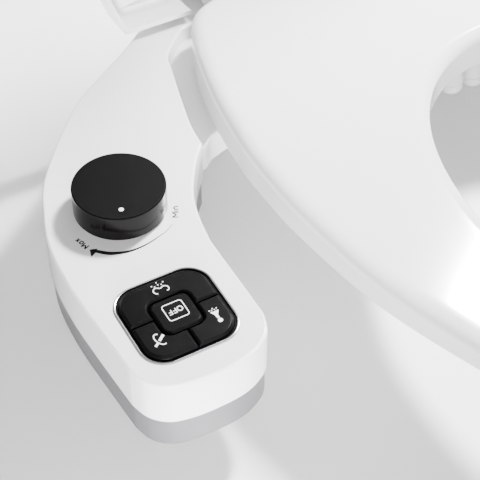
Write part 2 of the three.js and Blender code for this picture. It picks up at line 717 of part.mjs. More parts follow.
// Hinge: two posts with damper cartridges, and a pin through the ears of seat and lid.
const POST_IN = 100;
const POST_OUT = 122;
const EAR = 11;
const POST_R = 11;
const EAR_R = 8.5;
const DAMPER_R = 7.5;
for (const [name, side] of [["left", 1], ["right", -1]]) {
  const span = (a, b) => (side > 0 ? [a, b] : [-b, -a]);
  const foot = ARM_TOP + GAP - HINGE_HEIGHT;
  const profile = [v2(-POST_R, foot), v2(7, foot), v2(7, 0), v2(-POST_R, 0)];
  let body = atHinge(barX(circle(0, 0, POST_R, 32), ...span(POST_IN, POST_OUT)));
  body = body.add(atHinge(barX(profile, ...span(POST_IN, POST_OUT))));
  body = body.subtract(
    atHinge(barX(circle(0, 0, DAMPER_R + GAP, 24), ...span(POST_IN - 1, POST_OUT + 1))),
  );
  add("hinge_post_" + name, body, 0xf2f2f2, 0.2);
  const damper = atHinge(
    barX(circle(0, 0, DAMPER_R, 24), ...span(POST_IN + 1, POST_OUT - 1)),
  ).subtract(
    atHinge(barX(circle(0, 0, PIN_RADIUS + GAP, 16), ...span(POST_IN, POST_OUT))),
  );
  add((side > 0 ? "lid" : "seat") + "_damper", damper, 0x4a4a4a, 0.5);
  const pin = atHinge(
    barX(circle(0, 0, PIN_RADIUS, 24), ...span(POST_IN - EAR - 1, POST_OUT + EAR + 1)),
  );
  add("hinge_pin_" + name, pin, 0xb0b0b0, 0.3);
}

// Ear about the hinge axis, as an outline in Y and Z.
const earCircle = circle(0, 0, EAR_R, 24);
const earBore = (x0, x1) => atHinge(barX(circle(0, 0, PIN_RADIUS + RUNNING, 24), x0, x1));

// Symmetric outline from its right half, which starts and ends on the centre line.
function mirrored(half, count) {
  const other = half.slice(1, -1).map(([x, y]) => [-x, y]);
  return outline(smooth([...half, ...other.reverse(), half[0]], count));
}

// Seat ring: hollow from below, with a sloped top, a soft edge and two hinge ears.
function seatOutline() {
  const w = HALF;
  const tip = SEAT_REAR - SEAT_LENGTH;
  const y = (k) => SEAT_REAR - SEAT_LENGTH * k;
  return mirrored(
    [
      [0, SEAT_REAR],
      [0.5 * w, SEAT_REAR],
      [0.72 * w, y(0.002)],
      [0.81 * w, y(0.011)],
      [0.87 * w, y(0.036)],
      [0.913 * w, y(0.078)],
      [0.942 * w, y(0.12)],
      [0.976 * w, y(0.19)],
      [0.996 * w, y(0.265)],
      [w, y(0.32)],
      [0.986 * w, y(0.42)],
      [0.927 * w, y(0.56)],
      [0.81 * w, y(0.7)],
      [0.655 * w, y(0.85)],
      [0.37 * w, y(0.961)],
      [0, tip],
    ],
    64,
  );
}
function openingOutline(n) {
  const a = OPENING_WIDTH / 2;
  const b = OPENING_LENGTH / 2;
  return Array.from({ length: n }, (_, i) => {
    const t = (2 * Math.PI * i) / n;
    const bend = (c) => Math.sign(c) * Math.abs(c) ** (2 / 2.25);
    return v2(a * bend(Math.cos(t)), -OPENING_REAR - b + b * bend(Math.sin(t)));
  });
}
const seatTop = (drop) => (p) =>
  SEAT_UNDERSIDE + SEAT_REAR_THICKNESS - drop + SLOPE * (p.y - SEAT_REAR);
const SEAT_EDGE = 6;
const BUMPERS = {
  seat_bumper_left_rear: v2(0.79 * HALF, -150),
  seat_bumper_right_rear: v2(-0.79 * HALF, -150),
  seat_bumper_left_front: v2(0.43 * HALF, SEAT_REAR - 0.85 * SEAT_LENGTH),
  seat_bumper_right_front: v2(-0.43 * HALF, SEAT_REAR - 0.85 * SEAT_LENGTH),
};
function seatRing() {
  const outer = seatOutline();
  const hole = openingOutline(40);
  const rim = [[inset(outer, 1.5), SEAT_UNDERSIDE], [outer, SEAT_UNDERSIDE + 1.5]];
  const bowl = [[hole, SEAT_UNDERSIDE - 1]];
  for (let i = 0; i <= 3; i++) {
    const a = (Math.PI / 2) * (i / 3);
    const [d, drop] = [SEAT_EDGE * (1 - Math.cos(a)), SEAT_EDGE * (1 - Math.sin(a))];
    rim.push([inset(outer, d), seatTop(drop)]);
    bowl.push([inset(hole, -d), seatTop(drop)]);
  }
  bowl.push([inset(hole, -SEAT_EDGE), seatTop(-2)]);
  let body = solid(stack(rim)).subtract(solid(stack(bowl)));
  const wide = inset(outer, SEAT_WALL);
  const tight = inset(hole, -SEAT_WALL);
  let hollow = solid(stack([[wide, SEAT_UNDERSIDE - 1], [wide, seatTop(SEAT_WALL)]]));
  hollow = hollow.subtract(solid(stack([[tight, 0], [tight, 90]])));
  for (const b of Object.values(BUMPERS))
    hollow = hollow.subtract(prism(roundedRect(b.x, b.y, 13, 13, 3, 2), 0, 90));
  body = body.subtract(hollow);
  for (const side of [-1, 1]) {
    const [x0, x1] = side > 0 ? [POST_IN - EAR, POST_IN - 0.5] : [0.5 - POST_IN, EAR - POST_IN];
    const arm = [
      v2(-HINGE_BEHIND - 2, -EAR_R),
      v2(0, -EAR_R),
      v2(0, EAR_R),
      v2(-HINGE_BEHIND - 2, EAR_R - 5),
    ];
    body = body.add(atHinge(barX(arm, x0, x1))).add(atHinge(barX(earCircle, x0, x1)));
    body = body.subtract(earBore(x0 - 1, x1 + 1));
  }
  return body;
}
add("seat_ring", seatRing(), 0xf4f4f4, 0.15);
for (const [name, p] of Object.entries(BUMPERS)) {
  const foot = roundedRect(p.x, p.y, 11, 7, 4, 3);
  const body = solid(
    stack([
      [inset(foot, 1), 0],
      [foot, 1],
      [inset(foot, 0.6), SEAT_UNDERSIDE - GAP],
    ]),
  );
  add(name, body, 0xbdbdbd, 0.7);
}

// Lid: shell with a skirt, stored open against its stop behind the seat.
const LID_REAR = 8;
const lidOpen = (geometry) =>
  atHinge(geometry.rotateX(LID_PITCH - (LID_OPEN_DEG * Math.PI) / 180));
function lidOutline() {
  const w = HALF;
  const y = (k) => -HINGE_BEHIND - SEAT_LENGTH * k;
  return mirrored(
    [
      [0, LID_REAR],
      [0.5 * w, LID_REAR],
      [w, LID_REAR],
      [w + 10, LID_REAR - 3],
      [w + 14, LID_REAR - 11],
      [w + 21, -28],
      [w + 25, -70],
      [w + 25, y(0.25)],
      [w + LID_OVERHANG + 4, y(0.42)],
      [0.93 * w + LID_OVERHANG, y(0.56)],
      [0.81 * w + LID_OVERHANG, y(0.7)],
      [0.655 * w + LID_OVERHANG * 0.9, y(0.85) - LID_OVERHANG * 0.5],
      [0.37 * w + LID_OVERHANG * 0.5, y(0.961) - LID_OVERHANG * 0.85],
      [0, y(1) - LID_OVERHANG],
    ],
    64,
  );
}
const SEAT_TOP_AT_HINGE = SEAT_UNDERSIDE + SEAT_REAR_THICKNESS + SLOPE * (HINGE_Y - SEAT_REAR);
const LID_UNDER = (SEAT_TOP_AT_HINGE - HINGE_HEIGHT) * Math.cos(LID_PITCH) + LID_GAP;
const LID_LOW = LID_UNDER - LID_SKIRT - 3;
function lidShell(points) {
  const levels = [[points, LID_LOW]];
  const inside = [[inset(points, LID_WALL), LID_LOW - 1]];
  for (let i = 0; i <= 3; i++) {
    const a = (Math.PI / 2) * (i / 3);
    levels.push([
      inset(points, 6 * (1 - Math.cos(a))),
      LID_UNDER + LID_WALL - 6 * (1 - Math.sin(a)),
    ]);
    inside.push([
      inset(points, LID_WALL + 4 * (1 - Math.cos(a))),
      LID_UNDER - 4 * (1 - Math.sin(a)),
    ]);
  }
  return [stack(levels), stack(inside)];
}
function lid() {
  const [shell, inside] = lidShell(lidOutline());
  let body = lidOpen(shell).subtract(lidOpen(inside));
  const gapWide = POST_OUT + EAR + 12;
  const rear = stack([
    [[v2(-gapWide, 2), v2(gapWide, 2), v2(gapWide, 14), v2(-gapWide, 14)], LID_LOW - 2],
    [[v2(-gapWide, 2), v2(gapWide, 2), v2(gapWide, 14), v2(-gapWide, 14)], LID_UNDER],
  ]);
  body = body.subtract(lidOpen(rear));
  for (const side of [-1, 1]) {
    const [x0, x1] = side > 0 ? [POST_OUT + 0.5, POST_OUT + EAR] : [-POST_OUT - EAR, -POST_OUT - 0.5];
    const arm = [
      v2(-EAR_R, 0),
      v2(EAR_R - 1.5, 0),
      v2(EAR_R - 1.5, LID_UNDER + 1),
      v2(-EAR_R, LID_UNDER + 1),
    ];
    body = body.add(lidOpen(barX(arm, x0, x1))).add(lidOpen(barX(earCircle, x0, x1)));
    body = body.subtract(earBore(x0 - 1, x1 + 1));
  }
  return body;
}
add("lid", lid(), 0xf4f4f4, 0.15);
for (const [name, side] of [["left", 1], ["right", -1]]) {
  const pad = roundedRect(side * 0.5 * HALF, -HINGE_BEHIND - 0.83 * SEAT_LENGTH, 8, 5, 3, 3);
  const body = stack([[inset(pad, 0.8), LID_UNDER - LID_GAP + GAP], [pad, LID_UNDER - GAP]]);
  add("lid_bumper_" + name, lidOpen(body), 0xbdbdbd, 0.7);
}

export default root;
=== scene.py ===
import json
import math

import bmesh
import bpy
import numpy as np
from mathutils import Matrix, Vector


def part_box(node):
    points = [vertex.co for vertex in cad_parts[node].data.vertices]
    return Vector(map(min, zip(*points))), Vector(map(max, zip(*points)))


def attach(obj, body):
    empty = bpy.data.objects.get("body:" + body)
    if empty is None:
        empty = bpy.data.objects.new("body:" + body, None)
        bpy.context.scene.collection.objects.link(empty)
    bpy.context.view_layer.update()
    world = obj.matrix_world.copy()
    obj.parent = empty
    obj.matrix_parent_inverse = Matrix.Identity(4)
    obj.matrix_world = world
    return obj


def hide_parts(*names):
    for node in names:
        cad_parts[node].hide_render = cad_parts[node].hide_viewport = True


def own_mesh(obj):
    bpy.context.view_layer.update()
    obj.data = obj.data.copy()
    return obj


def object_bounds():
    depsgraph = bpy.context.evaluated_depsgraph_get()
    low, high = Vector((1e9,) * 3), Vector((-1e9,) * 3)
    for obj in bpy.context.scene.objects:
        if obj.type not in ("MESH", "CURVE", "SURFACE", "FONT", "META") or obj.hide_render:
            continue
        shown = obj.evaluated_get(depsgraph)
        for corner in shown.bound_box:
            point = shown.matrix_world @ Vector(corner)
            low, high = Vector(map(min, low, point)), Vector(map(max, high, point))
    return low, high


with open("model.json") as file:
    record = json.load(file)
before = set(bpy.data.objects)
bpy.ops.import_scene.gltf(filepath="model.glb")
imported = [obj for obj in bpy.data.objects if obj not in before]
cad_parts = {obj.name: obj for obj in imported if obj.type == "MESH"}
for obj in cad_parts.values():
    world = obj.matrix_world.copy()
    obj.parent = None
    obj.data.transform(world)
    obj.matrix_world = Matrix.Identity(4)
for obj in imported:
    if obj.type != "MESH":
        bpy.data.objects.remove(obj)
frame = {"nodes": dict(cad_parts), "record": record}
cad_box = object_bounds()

nodes = frame["nodes"]
mm = 0.001

# The room: the seat is looked at from the front of its control arm, over a plain pale floor
# just below the bolts. One compact lamp is at the back right, and two weaker ones are in front.
eye = bpy.data.objects.new("eye", bpy.data.cameras.new("eye"))
eye.location = (-0.44687, -0.59609, 0.55463)
looked_at = Vector((-0.20731, -0.16093, 0.028))
eye.rotation_euler = (looked_at - eye.location).to_track_quat("-Z", "Y").to_euler()
eye.data.lens = 105
eye.data.sensor_width = 36
bpy.context.scene.collection.objects.link(eye)
bpy.context.scene.camera = eye


def lamp(name, place, aim, width, power, spread=180):
    """Rectangular lamp at a place, turned towards a point. Its spread is in degrees."""
    light = bpy.data.lights.new(name, "AREA")
    light.shape, light.size, light.size_y = "RECTANGLE", width[0], width[1]
    light.energy, light.spread = power, math.radians(spread)
    holder = bpy.data.objects.new(name, light)
    holder.location = place
    holder.rotation_euler = (Vector(aim) - Vector(place)).to_track_quat("-Z", "Y").to_euler()
    bpy.context.scene.collection.objects.link(holder)


middle = (-0.2, -0.15, 0.02)
lamp("lamp_back_right", (0.34, 0.11, 0.72), middle, (0.14, 0.14), 43)
lamp("lamp_front", (-0.5, -1.0, 0.1), (-0.285, -0.24, -0.01), (0.25, 0.12), 1.1, 24)
lamp("lamp_front_right", (0.2, -1.2, 0.85), middle, (0.6, 0.3), 3)
sky = bpy.data.worlds.new("sky")
sky.use_nodes = True
sky.node_tree.nodes["Background"].inputs["Color"].default_value = (1, 1, 1, 1)
sky.node_tree.nodes["Background"].inputs["Strength"].default_value = 0.42
bpy.context.scene.world = sky

floor_half = 3.0
floor_gap = 4 * mm
floor_mesh = bpy.data.meshes.new("floor")
floor_z = cad_box[0].z - floor_gap
floor_corners = [(-floor_half, -floor_half), (floor_half, -floor_half)]
floor_corners += [(floor_half, floor_half), (-floor_half, floor_half)]
floor_mesh.from_pydata([(x, y, floor_z) for x, y in floor_corners], [], [(0, 1, 2, 3)])
floor = bpy.data.objects.new("floor", floor_mesh)
bpy.context.scene.collection.objects.link(floor)
floor_paint = bpy.data.materials.new("floor_paint")
floor_paint.use_nodes = True
floor_shader = floor_paint.node_tree.nodes["Principled BSDF"]
floor_shader.inputs["Base Color"].default_value = (0.95, 0.95, 0.95, 1)
floor_shader.inputs["Roughness"].default_value = 0.9
floor_mesh.materials.append(floor_paint)

# Cover: one injection moulding in gloss white, with a raised arm panel that runs back into the
# hinge shelf, and a low deck under the seat. Four screw bosses are moulded on its inside.
arm_left = -298 * mm
arm_front = -231.5 * mm
arm_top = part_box("top_cover")[1].z
root_x = -190 * mm
deck_top = arm_top - 10 * mm
deck_front = -62 * mm
seat_half = 179 * mm
shelf_front = 11 * mm
shelf_rear = 52 * mm
wall = 2.5 * mm
gap = 0.3 * mm
pad_x, pad_y = -259.25 * mm, -190 * mm
pad_half, pad_corner = 26.7 * mm, 14 * mm
knob_x, knob_y = pad_x + 8 * mm, pad_y + 80.3 * mm
spindle_hole_r = 6 * mm
arm_screws = [(arm_left + 13 * mm, pad_y + 40 * mm), (arm_left + 52 * mm, -50 * mm)]
deck_screws = [(-135 * mm, 32 * mm), (135 * mm, 32 * mm)]
arm_boss_low, deck_boss_low = -17.7 * mm, 3.3 * mm
boss_r, pilot_r, pilot_deep = 4 * mm, 1.8 * mm, 14 * mm
notch_half, notch_back = 16.5 * mm, 11 * mm
cover_edge, deck_edge = 1.5 * mm, 1.2 * mm


def curve(points, count, closed=False):
    """Evenly spaced points on a smooth line through a few."""
    p = np.array(points, float)
    p = np.vstack([p[-1], p, p[0], p[1]]) if closed else np.vstack([p[0], p, p[-1]])
    t = np.linspace(0, 1, 40, endpoint=False)[:, None]
    fine = []
    for a, b, c, d in zip(p, p[1:], p[2:], p[3:]):
        u, v = (c - a) / 2, (d - b) / 2
        fine.append((2 * b - 2 * c + u + v) * t**3 + (3 * c - 3 * b - 2 * u - v) * t**2 + u * t + b)
    fine = np.vstack([*fine, p[-2][None]])
    run = np.concatenate([[0], np.cumsum(np.linalg.norm(np.diff(fine, axis=0), axis=1))])
    at = np.linspace(0, run[-1], count + 1)
    even = np.stack([np.interp(at, run, fine[:, k]) for k in range(fine.shape[1])], 1)
    return even[:-1] if closed else even


def outline(*pieces):
    """Joins lines into one closed outline that runs anticlockwise, without doubled points."""
    p = np.vstack(pieces)
    p = p[np.linalg.norm(p - np.roll(p, 1, 0), axis=1) > 0.01 * mm]
    area = np.sum(p[:, 0] * np.roll(p[:, 1], -1) - p[:, 1] * np.roll(p[:, 0], -1))
    return p if area > 0 else p[::-1]


def inset(p, d):
    """Moves every point of an anticlockwise outline inwards by d."""
    e = np.roll(p, -1, 0) - p
    n = np.stack([-e[:, 1], e[:, 0]], 1) / np.linalg.norm(e, axis=1)[:, None]
    m = np.roll(n, 1, 0)
    return p + (n + m) * (d / (1 + (n * m).sum(1)))[:, None]


def circle(x, y, r, n=96):
    a = 2 * math.pi * np.arange(n) / n
    return np.stack([x + r * np.cos(a), y + r * np.sin(a)], 1)


def rounded(x, y, half_x, half_y, r, steps=16):
    """Rectangle with round corners."""
    a = np.concatenate([np.linspace(k, k + 1, steps + 1) for k in range(4)]) * math.pi / 2
    cx = np.repeat([1, -1, -1, 1], steps + 1) * (half_x - r)
    cy = np.repeat([1, 1, -1, -1], steps + 1) * (half_y - r)
    return np.stack([x + cx + r * np.cos(a), y + cy + r * np.sin(a)], 1)


def skin(name, rings, capped=True):
    """Mesh through rings of points (x, y, z), each with as many. The ends are capped or joined."""
    n, count = len(rings[0]), len(rings)
    faces = []
    for k in range(count - 1 if capped else count):
        a, b = k * n, (k + 1) % count * n
        faces += [(a + i, a + (i + 1) % n, b + (i + 1) % n, b + i) for i in range(n)]
    if capped:
        faces.append(tuple(range(n))[::-1])
        faces.append(tuple((count - 1) * n + i for i in range(n)))
    mesh = bpy.data.meshes.new(name)
    mesh.from_pydata(np.vstack(rings).tolist(), [], faces)
    piece = bpy.data.objects.new(name, mesh)
    bpy.context.scene.collection.objects.link(piece)
    return piece


def stack(name, levels, capped=True):
    """Body through outlines at given heights. A height is a number, or a function of the points."""
    rings = []
    for p, z in levels:
        height = z(p) if callable(z) else np.full(len(p), float(z))
        rings.append(np.column_stack([p, height]))
    return skin(name, rings, capped)


def prism(name, p, z0, z1):
    """Straight-sided body on one outline."""
    return stack(name, [(p, z0), (p, z1)])


def soft_edge(p, z0, z1, r, steps=6):
    """Levels of a prism with its top edge rounded."""
    a = np.linspace(0, math.pi / 2, steps + 1)
    return [(p, z0)] + [(inset(p, r * (1 - math.cos(t))), z1 - r + r * math.sin(t)) for t in a]


def block(x0, x1, y0, y1, z0, z1):
    return prism("block", np.array([(x0, y0), (x1, y0), (x1, y1), (x0, y1)]), z0, z1)


def settle(piece):
    """Makes the piece's modifiers part of its mesh."""
    shown = piece.evaluated_get(bpy.context.evaluated_depsgraph_get())
    mesh = bpy.data.meshes.new_from_object(shown)
    old = piece.data
    piece.modifiers.clear()
    piece.data = mesh
    bpy.data.meshes.remove(old)


def combine(piece, tool, how):
    step = piece.modifiers.new(how, "BOOLEAN")
    step.object, step.operation, step.solver = tool, how, "MANIFOLD"
    settle(piece)
    bpy.data.objects.remove(tool)
    return piece


def cut(piece, tool):
    return combine(piece, tool, "DIFFERENCE")


def join(piece, tool):
    return combine(piece, tool, "UNION")


def smooth(piece, edge=30, bevel=0, segments=2):
    """Shades the round faces smooth and keeps the flat ones flat. A bevel breaks the sharp edges."""
    piece.data.shade_smooth()
    if bevel:
        broken = piece.modifiers.new("broken_edges", "BEVEL")
        broken.width, broken.segments, broken.limit_method = bevel, segments, "ANGLE"
        broken.angle_limit = math.radians(edge)
        broken.harden_normals = False
        settle(piece)
        piece.data.shade_smooth()
    piece.data.set_sharp_from_angle(angle=math.radians(edge))
    even = piece.modifiers.new("even_shading", "WEIGHTED_NORMAL")
    even.keep_sharp = True
    even.weight = 90
    return piece


def moulding(
    name, colour, rough, coat=0.0, grain=0.02, grain_size=0.4, tint=0.03, metal=0.0, shine=0.5
):
    """Moulded or painted surface: a faint drift in colour and gloss, and a fine skin of grain."""
    made = bpy.data.materials.new(name)
    made.use_nodes = True
    tree = made.node_tree
    shader = tree.nodes["Principled BSDF"]
    where = tree.nodes.new("ShaderNodeTexCoord")

    def noise(size_mm, detail):
        n = tree.nodes.new("ShaderNodeTexNoise")
        n.inputs["Scale"].default_value = 1000 / size_mm
        n.inputs["Detail"].default_value = detail
        tree.links.new(where.outputs["Object"], n.inputs["Vector"])
        return n.outputs["Fac"]

    ramp = tree.nodes.new("ShaderNodeValToRGB")
    dark = [c * (1 - tint) for c in colour]
    ramp.color_ramp.elements[0].position, ramp.color_ramp.elements[1].position = 0.3, 0.7
    ramp.color_ramp.elements[0].color = (*dark, 1)
    ramp.color_ramp.elements[1].color = (*colour, 1)
    tree.links.new(noise(60, 2), ramp.inputs["Fac"])
    tree.links.new(ramp.outputs["Color"], shader.inputs["Base Color"])
    gloss = tree.nodes.new("ShaderNodeMapRange")
    gloss.inputs["To Min"].default_value = rough * 0.85
    gloss.inputs["To Max"].default_value = rough * 1.15
    tree.links.new(noise(9, 3), gloss.inputs["Value"])
    tree.links.new(gloss.outputs["Result"], shader.inputs["Roughness"])
    bump = tree.nodes.new("ShaderNodeBump")
    bump.inputs["Strength"].default_value = grain
    bump.inputs["Distance"].default_value = 0.1 * mm
    tree.links.new(noise(grain_size, 2), bump.inputs["Height"])
    tree.links.new(bump.outputs["Normal"], shader.inputs["Normal"])
    shader.inputs["Metallic"].default_value = metal
    shader.inputs["Specular IOR Level"].default_value = shine
    shader.inputs["Coat Weight"].default_value = coat
    shader.inputs["Coat Roughness"].default_value = 0.06
    return made


def fit(piece, material, body, slot, *stands_for):
    """Gives a finished piece its material and its place on the seat."""
    piece.data.materials.clear()
    piece.data.materials.append(material)
    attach(piece, body)
    if stands_for:
        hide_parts(*stands_for)
    return piece


def arm_side(points):
    """Points given as distances from the arm's outer side and front end, in millimetres."""
    return [(arm_left + x * mm, arm_front + y * mm) for x, y in points]


outer_side = curve(
    [(-140 * mm, shelf_rear), (root_x + 22 * mm, shelf_rear - 24 * mm)]
    + arm_side(
        [(105, 240), (83, 225.5), (56, 205), (21, 163), (8.5, 136), (2, 113.5)]
        + [(0, 86.5), (1, 58.5), (3.5, 22)]
    ),
    110,
)
front_end = curve(
    arm_side(
        [(3.5, 22), (7, 11.5), (15, 3.8), (26.5, 0.7), (39.75, 0), (54.5, 1.1), (65.5, 5)]
        + [(73.5, 11.5), (77.5, 22)]
    ),
    90,
)
inner_side = curve(
    arm_side([(77.5, 78.5), (81, 98), (87, 115.5), (99.5, 135.5), (108, 145.5)]),
    40,
)
root_side = curve(
    [(root_x + x * mm, y * mm) for x, y in [(0, -86), (2.5, -66), (14.5, -20), (18, -9), (26, 0)]]
    + [(root_x + 37 * mm, shelf_front - 2 * mm), (root_x + 50 * mm, shelf_front)],
    50,
)
shelf_end = curve(
    [(seat_half - x * mm, y * mm) for x, y in [(8, 11), (2, 11.4), (-5, 15.5), (-8.5, 24)]]
    + [(seat_half + x * mm, y * mm) for x, y in [(8.6, 33), (4.5, 43), (-3, 50), (-10, 52)]],
    36,
)
panel = inset(outline(outer_side, front_end, inner_side, root_side, shelf_end), 0.02 * mm)
deck_left = curve(
    [(root_x + x * mm, y * mm) for x, y in [(-3.5, -81.5), (6, -79), (15, -73)]]
    + [(-140 * mm, deck_front - 3 * mm), (-90 * mm, deck_front)],
    36,
)
deck_right = curve(
    [(90 * mm, deck_front), (seat_half - 36 * mm, deck_front + 3 * mm)]
    + [(seat_half - x * mm, y * mm) for x, y in [(17, -46), (12, -22), (12, 19)]],
    36,
)
deck = outline(deck_left, deck_right, [(-150 * mm, 19 * mm), (root_x, -10 * mm)])


def pad_square(d, steps=24):
    return rounded(pad_x, pad_y, pad_half - d, pad_half - d, pad_corner - d, steps)


cover_white = moulding("cover_white", (0.83, 0.83, 0.835), 0.22, coat=0.25, grain=0.015, tint=0.02)
cover = stack("cover", soft_edge(panel, 0, arm_top, cover_edge))
join(cover, stack("deck", soft_edge(deck, 0, deck_top, deck_edge)))
cut(cover, prism("room", inset(panel, wall), -mm, arm_top - wall))
cut(cover, prism("room", inset(deck, wall), -mm, deck_top - wall))
through_low, through_high = arm_top - 4 * mm, arm_top + mm
cut(cover, prism("pad_hole", pad_square(-gap), through_low, through_high))
spindle_hole = circle(knob_x, knob_y, spindle_hole_r)
cut(cover, prism("spindle_hole", spindle_hole, through_low, through_high))
notch = (-notch_half, notch_half, deck_front - 20 * mm, deck_front + notch_back)
cut(cover, block(*notch, -mm, deck_top - wall))
bosses = [(*place, arm_boss_low) for place in arm_screws]
bosses += [(*place, deck_boss_low) for place in deck_screws]
for x, y, low in bosses:
    join(cover, prism("boss", circle(x, y, boss_r, 32), low, arm_top - 2 * mm))
    cut(cover, prism("pilot", circle(x, y, pilot_r, 24), low - mm, low + pilot_deep))
smooth(cover)
fit(cover, cover_white, "base", "cover_white", "top_cover")

# Print on the arm: the dial's words and its swelling arrow, pad-printed in black round the knob.
print_black = moulding("print_black", (0.003, 0.003, 0.003), 0.6, tint=0.1, shine=0.15)


def flat(name, outlines, z, thick=0.03 * mm):
    """Thin raised print, one island for each closed outline."""
    points, faces = [], []
    for p in outlines:
        p = outline(np.array(p, float))
        n, k = len(p), len(points)
        points += [(x, y, z + h) for h in (0, thick) for x, y in p]
        faces += [(k + i, k + (i + 1) % n, k + n + (i + 1) % n, k + n + i) for i in range(n)]
        faces += [tuple(k + i for i in range(n))[::-1], tuple(k + n + i for i in range(n))]
    mesh = bpy.data.meshes.new(name)
    mesh.from_pydata(points, [], faces)
    piece = bpy.data.objects.new(name, mesh)
    bpy.context.scene.collection.objects.link(piece)
    return piece


def stroke(points, widths, count=40):
    """Outline of a pen line through points, with its width at each."""
    line = curve([(x, y, w) for (x, y), w in zip(points, widths)], count)
    along = np.gradient(line[:, :2], axis=0)
    along /= np.linalg.norm(along, axis=1)[:, None]
    side = np.stack([-along[:, 1], along[:, 0]], 1) * line[:, 2:] / 2
    return np.vstack([line[:, :2] + side, (line[:, :2] - side)[::-1]])


letters = {
    "M": (1.12, ["line 0 0 0 1", "line 0 1 .42 .3", "line .42 .3 .84 1", "line .84 1 .84 0"]),
    "i": (0.32, ["line 0 0 0 .68", "line 0 .9 0 .96"]),
    "n": (0.5, ["line 0 0 0 .7", "bend 0 .42 .1 .62 .28 .7 .44 .6 .5 .4 .5 0"]),
    "a": (
        0.82,
        ["bend .5 .33 .42 .57 .22 .66 .04 .52 0 .32 .06 .1 .24 0 .43 .1 .5 .33"]
        + ["line .5 .68 .5 0"],
    ),
    "x": (0.5, ["line 0 0 .5 .7", "line 0 .7 .5 0"]),
    "O": (1.14, ["bend .42 1 .78 .83 .84 .5 .78 .17 .42 0 .06 .17 0 .5 .06 .83 .42 1"]),
    "F": (0.84, ["line 0 0 0 1", "line 0 1 .58 1", "line 0 .5 .5 .5"]),
}


def printed(name, word, x, y, z, length, height, turn, width):
    """A printed word, centred on a point and turned by some degrees from X."""
    ends = [letters[c][0] for c in word]
    ends[-1] = 0.55
    turned_by = math.radians(turn)
    along = np.array([math.cos(turned_by), math.sin(turned_by)]) * length / sum(ends)
    up = np.array([-math.sin(turned_by), math.cos(turned_by)]) * height
    marks = []
    for k, c in enumerate(word):
        for line in letters[c][1]:
            kind, *numbers = line.split()
            at = np.array(numbers, float).reshape(-1, 2) + (sum(ends[:k]) - sum(ends) / 2, -0.5)
            path = [(x, y) + p[0] * along + p[1] * up for p in at]
            marks.append(stroke(path, [width] * len(path), 2 if kind == "line" else 30))
    return flat(name, marks, z)


def by_knob(points):
    """Points given in millimetres from the knob's centre."""
    return [(knob_x + x * mm, knob_y + y * mm) for x, y in points]


arrow_line = by_knob(
    [(18.6, -24.2), (13.4, -27.2), (7.9, -28.9), (2, -30.4), (-4.5, -31.1), (-10.4, -30.7)]
    + [(-16.6, -28.6), (-19.8, -26.8), (-22.4, -24.6), (-24.9, -22.1)]
)
arrow_widths = [w * mm for w in (0.3, 0.4, 0.6, 0.85, 1.15, 1.6, 2.2, 2.4, 2.3, 2)]
arrow = stroke(arrow_line, arrow_widths, 80)
head = by_knob([(-27, -19.9), (-23.2, -21.2), (-25.2, -23.4), (-28.5, -25.2)])
dial_arrow = flat("dial_arrow", [arrow, head], arm_top)
fit(smooth(dial_arrow), print_black, "base", "knob_black")
legend_long, legend_high, legend_pen = 8 * mm, 3.2 * mm, 0.72 * mm
for word, x, y, turn in [("Min", 23.9, -16.8, 64), ("Max", -29, -14, 110)]:
    place = knob_x + x * mm, knob_y + y * mm, arm_top
    size = legend_long, legend_high
    legend = printed("legend_" + word, word, *place, *size, turn, legend_pen)
    fit(legend, print_black, "base", "knob_black")

# Tray: the arm's lower half, moulded in plastic and sprayed with a satin silver lacquer. It is
# screwed up against the cover from below, and the water inlet comes out through its floor.
tray_low, tray_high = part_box("arm_tray")
tray_inset, tray_edge = mm, 1.2 * mm
beyond = 0.5
tray_silver = moulding(
    "tray_silver", (0.17, 0.167, 0.176), 0.35, grain=0.03, grain_size=0.15, metal=0.35, tint=0.02
)


def tray_body(d, z0, z1, edge, r=0.0):
    """The panel's outline drawn in by d and cut off at the tray's right edge."""
    p = inset(panel, d)
    steps = np.linspace(0, math.pi / 2, 6) if r else []
    levels = [(inset(p, r * (1 - math.sin(t))), z0 + r * (1 - math.cos(t))) for t in steps]
    body = stack("tray", (levels or [(p, z0)]) + [(p, z1)])
    return cut(body, block(edge, beyond, -beyond, beyond, z0 - mm, z1 + mm))


tray = tray_body(tray_inset, tray_low.z, tray_high.z, tray_high.x, tray_edge)
cut(tray, tray_body(tray_inset + wall, tray_low.z + wall, 2 * mm, tray_high.x - wall))
inlet_x, inlet_y = root_x - 26 * mm, -22 * mm
inlet_hole_r, screw_hole_r = 7.3 * mm, 2 * mm
for x, y, r in [(inlet_x, inlet_y, inlet_hole_r)] + [(*place, screw_hole_r) for place in arm_screws]:
    cut(tray, prism("hole", circle(x, y, r, 48), tray_low.z - mm, -2 * mm))
tray.name = "tray"
smooth(tray)
fit(tray, tray_silver, "base", "tray_silver", "arm_tray")

# Knob: a black acetal cup, turned satin on top with a polished side, pushed onto the spindle.
# A paint-filled dot near its edge points at the dial.
knob_low, knob_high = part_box("control_knob")
knob_r = (knob_high.x - knob_low.x) / 2
knob_side = moulding("knob_side", (0.002, 0.0018, 0.0018), 0.15, grain=0.01, tint=0.1, shine=0.12)
knob_face = moulding(
    "knob_face", (0.002, 0.002, 0.0021), 0.5, grain=0.06, grain_size=0.25, tint=0.1, shine=0.05
)


def turned(name, profile, x, y, n=128):
    """Body of revolution from (radius, height) points, run from the axis to the axis."""
    return stack(name, [(circle(x, y, max(r, 0.01 * mm), n), z) for r, z in profile])


